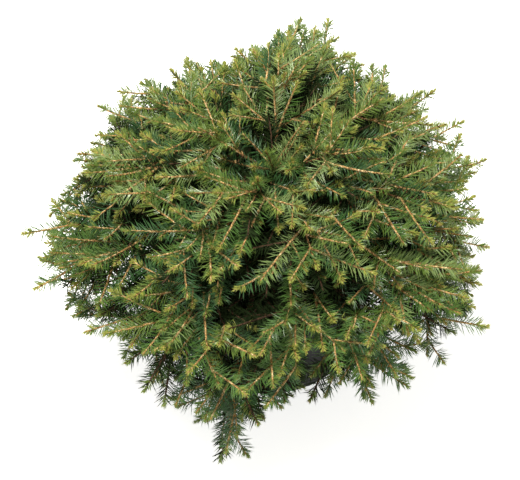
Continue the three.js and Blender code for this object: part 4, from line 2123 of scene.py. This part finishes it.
@dataclass
class Foliage:
    """Deals the shoots out by tier and tint and dresses them with bark, needles and buds."""

    crown: Crown
    shoots: list[Shoot]
    dealing: Dealing = Dealing()
    seed: int = 11
    points: int = 6
    tip_length: float = 9
    taper: float = 0.4
    overlap: float = 0.4
    needle_size: Growth = Growth(0.86, 160, 1.12)
    body: NeedleSet = NeedleSet(0.56, 11.4, 0.68, 70, 50, -44, 84, 10, 1.25)
    dull: NeedleSet = NeedleSet(0.82, 11.8, 1.15, 66, 50, -45, 80, 8, 1.0)
    tips: NeedleSet = NeedleSet(0.25, 6.6, 0.7, 62, 22, -90, 90, 10, 1.0)
    hanging: float = 0.8
    hanging_steep: float = 0.7
    twig_size: Growth = Growth(0.62, 90, 1.25)
    twig_radii: tuple[float, float] = (1.0, 0.6)
    twig_sides: int = 5
    bud_size: float = 0.0021
    bud_seed: int = 3
    # Old needles: a dull finish of their own, in the deepest tint as painted shade.
    old_needles: NeedleFinish = NeedleFinish("needle_old", Tint.DEEP.value, 0.75, 0.15)
    bud_scales: NeedleFinish = NeedleFinish("bud_scales", 0x8C7436, 0.6)
    young_bark: BarkFinish = BarkFinish("young_bark", 0x7A5630, 0xB88F56, 0xF0DCAE, 380, 500, 0.2)
    # Bark of the deep-tinted shoots: older bark, darkened further as painted shade inside and low in the
    # crown.
    old_bark: BarkFinish = BarkFinish("inner_bark", 0x2E2015, 0x4A3524, 0x6A4E36, 300, 500, 0.3)

    def __post_init__(self) -> None:
        """Deal tints to the shoots by where they end, as painted shade and painted light, and by chance."""
        random = Seeded(self.seed)
        ends = np.array([shoot.at(np.array([1.0]))[0] for shoot in self.shoots])
        depth = self.crown.envelope.depth(ends)
        self.dealt: list[tuple[Shoot, Tint, Tint | None]] = [
            (shoot, *self.dealing.tints(shoot, near, end, random))
            for shoot, near, end in zip(self.shoots, depth, ends)
        ]

    def lines(self, shoots: list[Shoot], part: Part, ranked: float = 1.0) -> bpy.types.Object:
        """Make the line object of one part of some shoots, with their attributes.

        Args:
            shoots: The shoots.
            part: Which part of them.
            ranked: How strongly the needles of a level shoot keep to its two sides.

        Returns:
            An object of edges.
        """
        points, ups, sizes, girths, ranks, edges = [], [], [], [], [], []
        for shoot in shoots:
            tip = 1 - self.tip_length / shoot.reach
            bare = shoot.bare / shoot.reach
            start = {Part.BODY: bare, Part.NEEDLED: bare, Part.TIP: tip, Part.WHOLE: 0.0}[part]
            stop = lerp(tip, 1.0, self.overlap) if part is Part.BODY else 1.0
            shares = np.linspace(start, stop, self.points)
            edges += [(len(points) + i, len(points) + i + 1) for i in range(self.points - 1)]
            points += list(shoot.at(shares))
            ups += [shoot.axes.up] * self.points
            long, thick = self.needle_size.at(shoot.reach), self.twig_size.at(shoot.reach)
            sizes += [long * (1 - self.taper * max(0.0, (s - tip) / (1 - tip))) for s in shares]
            girths += [thick * lerp(*self.twig_radii, s) * MM for s in shares]
            hang = min(1.0, max(0.0, -shoot.axes.along[2] / self.hanging_steep))
            ranks += [lerp(ranked, min(ranked, self.hanging), hang)] * self.points
        made = mesh_object("lines", np.array(points), [], edges)
        for name, values in (("up", ups), ("size", sizes), ("girth", girths), ("ranked", ranks)):
            kind, key = ("FLOAT_VECTOR", "vector") if values is ups else ("FLOAT", "value")
            attribute = made.data.attributes.new(name, kind, "POINT")
            attribute.data.foreach_set(key, np.array(values).astype(np.float32).ravel())
        return made

    def build(self) -> None:
        """Build every piece of foliage, tier by tier, and put it on the body."""
        needle, bud = needle_shape(), bud_shape()
        needles, twigs, buds = needle_tree(), twig_tree(), bud_tree()
        finishes = {tint: NeedleFinish(f"needle_{tint.label}", tint.value).make() for tint in Tint}
        # Shoots in the deepest tint of painted shade get the old needles' dull finish.
        finishes[Tint.DEEP] = self.old_needles.make()
        barks = (("young", self.young_bark.make(), False), ("old", self.old_bark.make(), True))
        on_bud = {"Size": self.bud_size, "Seed": self.bud_seed, "Bud": bud, "Finish": self.bud_scales.make()}
        for tier in TIERS:
            nodes = [f"foliage_{mass.name}" for mass in self.crown.masses if mass.tier is tier]
            mine = [row for row in self.dealt if row[0].tier == tier.name]
            for seed, tint in enumerate(Tint, 1):
                fresh = [shoot for shoot, body, tip in mine if body is tint and tip]
                dull = [shoot for shoot, body, tip in mine if body is tint and not tip]
                tipped = [shoot for shoot, _, tip in mine if tip is tint]
                for kind, shoots, part, dress in (
                    ("needles", fresh, Part.BODY, self.body),
                    ("inner_needles", dull, Part.NEEDLED, self.dull),
                    ("tips", tipped, Part.TIP, self.tips),
                ):
                    if shoots:
                        inputs = dress.inputs(seed, needle, finishes[tint])
                        lines = self.lines(shoots, part, dress.ranked)
                        made = grown(f"{kind}_{tier.name}_{tint.label}", lines, needles, inputs)
                        settle(made, nodes)
            twigged = [row for row in mine if row[0].rank is not Rank.STEM]
            # Twigs of shoots in the deepest tint get the darker bark, which is painted shade as well as older
            # bark.
            for label, bark, old in barks:
                shoots = [shoot for shoot, body, _ in twigged if (body is Tint.DEEP) is old]
                inputs = {"Sides": self.twig_sides, "Finish": bark}
                made = grown(f"twigs_{tier.name}_{label}", self.lines(shoots, Part.WHOLE), twigs, inputs)
                settle(made, nodes)
            lines = self.lines([shoot for shoot, _, tip in mine if tip], Part.TIP)
            settle(grown(f"buds_{tier.name}", lines, buds, on_bud), nodes)
        forget(needle)
        forget(bud)


# Camera, floor and light.


@dataclass(frozen=True)
class Lamp:
    """One round soft lamp."""

    name: str
    place: tuple[float, float, float]
    size: float
    watts: float
    tint: int


@dataclass(frozen=True)
class Studio:
    """Camera at the photograph's viewing angle, a plain pale floor and soft light."""

    target: tuple[float, float, float] = (-0.0086, 0.0, 0.118)
    elevation: float = 50
    distance: float = 1.6
    lens: float = 129
    sensor: float = 36
    floor_half: float = 6
    floor_tint: int = 0xFAFAF8
    floor_roughness: float = 0.9
    floor_specular: float = 0.1
    floor_glow: float = 0.74
    glow_tint: int = 0xFFFFFF
    sky_tint: int = 0xFFFCF4
    sky_strength: float = 0.5
    key: Lamp = Lamp("key", (-0.45, -0.1, 2.4), 1.0, 91, 0xFFFCF6)

    def camera(self) -> None:
        """Place the camera."""
        data = bpy.data.cameras.new("camera")
        data.lens = self.lens
        data.sensor_width = self.sensor
        camera = linked("camera", data)
        angle = math.radians(self.elevation)
        back = Vector((0, -math.cos(angle), math.sin(angle)))
        camera.location = Vector(self.target) + back * self.distance
        camera.rotation_euler = (-back).to_track_quat("-Z", "Y").to_euler()
        bpy.context.scene.camera = camera

    def floor(self) -> None:
        """Lay the floor, which glows a little so that it stays as white as the photograph's ground."""
        half = self.floor_half / MM
        corners = [(-half, -half, 0), (half, -half, 0), (half, half, 0), (-half, half, 0)]
        floor = mesh_object("studio_floor", np.array(corners), [[0, 1, 2, 3]])
        paint = Painter("floor_paint", self.floor_roughness, self.floor_specular)
        paint.colour(self.floor_tint)
        paint.skin.inputs["Emission Color"].default_value = linear(self.glow_tint)
        paint.skin.inputs["Emission Strength"].default_value = self.floor_glow
        floor.data.materials.append(paint.material)

    def hang(self, lamp: Lamp) -> None:
        """Hang a lamp that faces the plant.

        Args:
            lamp: The lamp.
        """
        data = bpy.data.lights.new(lamp.name, "AREA")
        data.shape = "DISK"
        data.size = lamp.size
        data.energy = lamp.watts
        data.color = linear(lamp.tint)[:3]
        made = linked(lamp.name, data)
        made.location = lamp.place
        aim = Vector(self.target) - Vector(lamp.place)
        made.rotation_euler = aim.to_track_quat("-Z", "Y").to_euler()

    def light(self) -> None:
        """Light the scene and show its colours as they are."""
        world = bpy.data.worlds.new("studio_world")
        bpy.context.scene.world = world
        world.use_nodes = True
        sky = world.node_tree.nodes["Background"]
        sky.inputs["Color"].default_value = linear(self.sky_tint)
        sky.inputs["Strength"].default_value = self.sky_strength
        self.hang(self.key)
        view = bpy.context.scene.view_settings
        view.view_transform = "Standard"
        view.look = "None"
        view.exposure = 0.0
        view.gamma = 1.0


def main() -> None:
    """Build the scene: camera, floor and light first, then pot, wood and foliage."""
    studio = Studio()
    studio.camera()
    studio.floor()
    studio.light()
    pot, plug = Pot(), Soil()
    settle(pot.build(), ["pot"])
    soil = plug.build()
    crumbs = plug.crumbs(soil)
    settle(soil, ["soil"])
    settle(crumbs, ["soil"])
    crown = Crown()
    wood = Wood(crown)
    trunk = wood.trunk()
    settle(trunk, ["trunk"])
    young = wood.young.make()
    for tier in TIERS:
        masses = [mass for mass in crown.masses if mass.tier is tier]
        if tier.leave:
            boughs = [wood.bough(mass) for mass in masses]
            made = wood.piece(f"boughs_{tier.name}", boughs, trunk.data.materials[0])
            settle(made, [f"bough_{mass.name}" for mass in masses])
        made = wood.piece(f"stems_{tier.name}", [wood.stem(mass) for mass in masses], young)
        settle(made, [f"foliage_{mass.name}" for mass in masses])
    shoots = Branching(crown).shoots()
    log.info("%d shoots, %.1f m in all", len(shoots), sum(shoot.reach for shoot in shoots) * MM)
    for rank in Rank:
        reaches = [shoot.reach for shoot in shoots if shoot.rank is rank]
        log.info("%s: %d shoots of %.0f mm", rank.name, len(reaches), sum(reaches) / max(1, len(reaches)))
    Foliage(crown, shoots).build()
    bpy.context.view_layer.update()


if __name__ == "__main__":
    main()
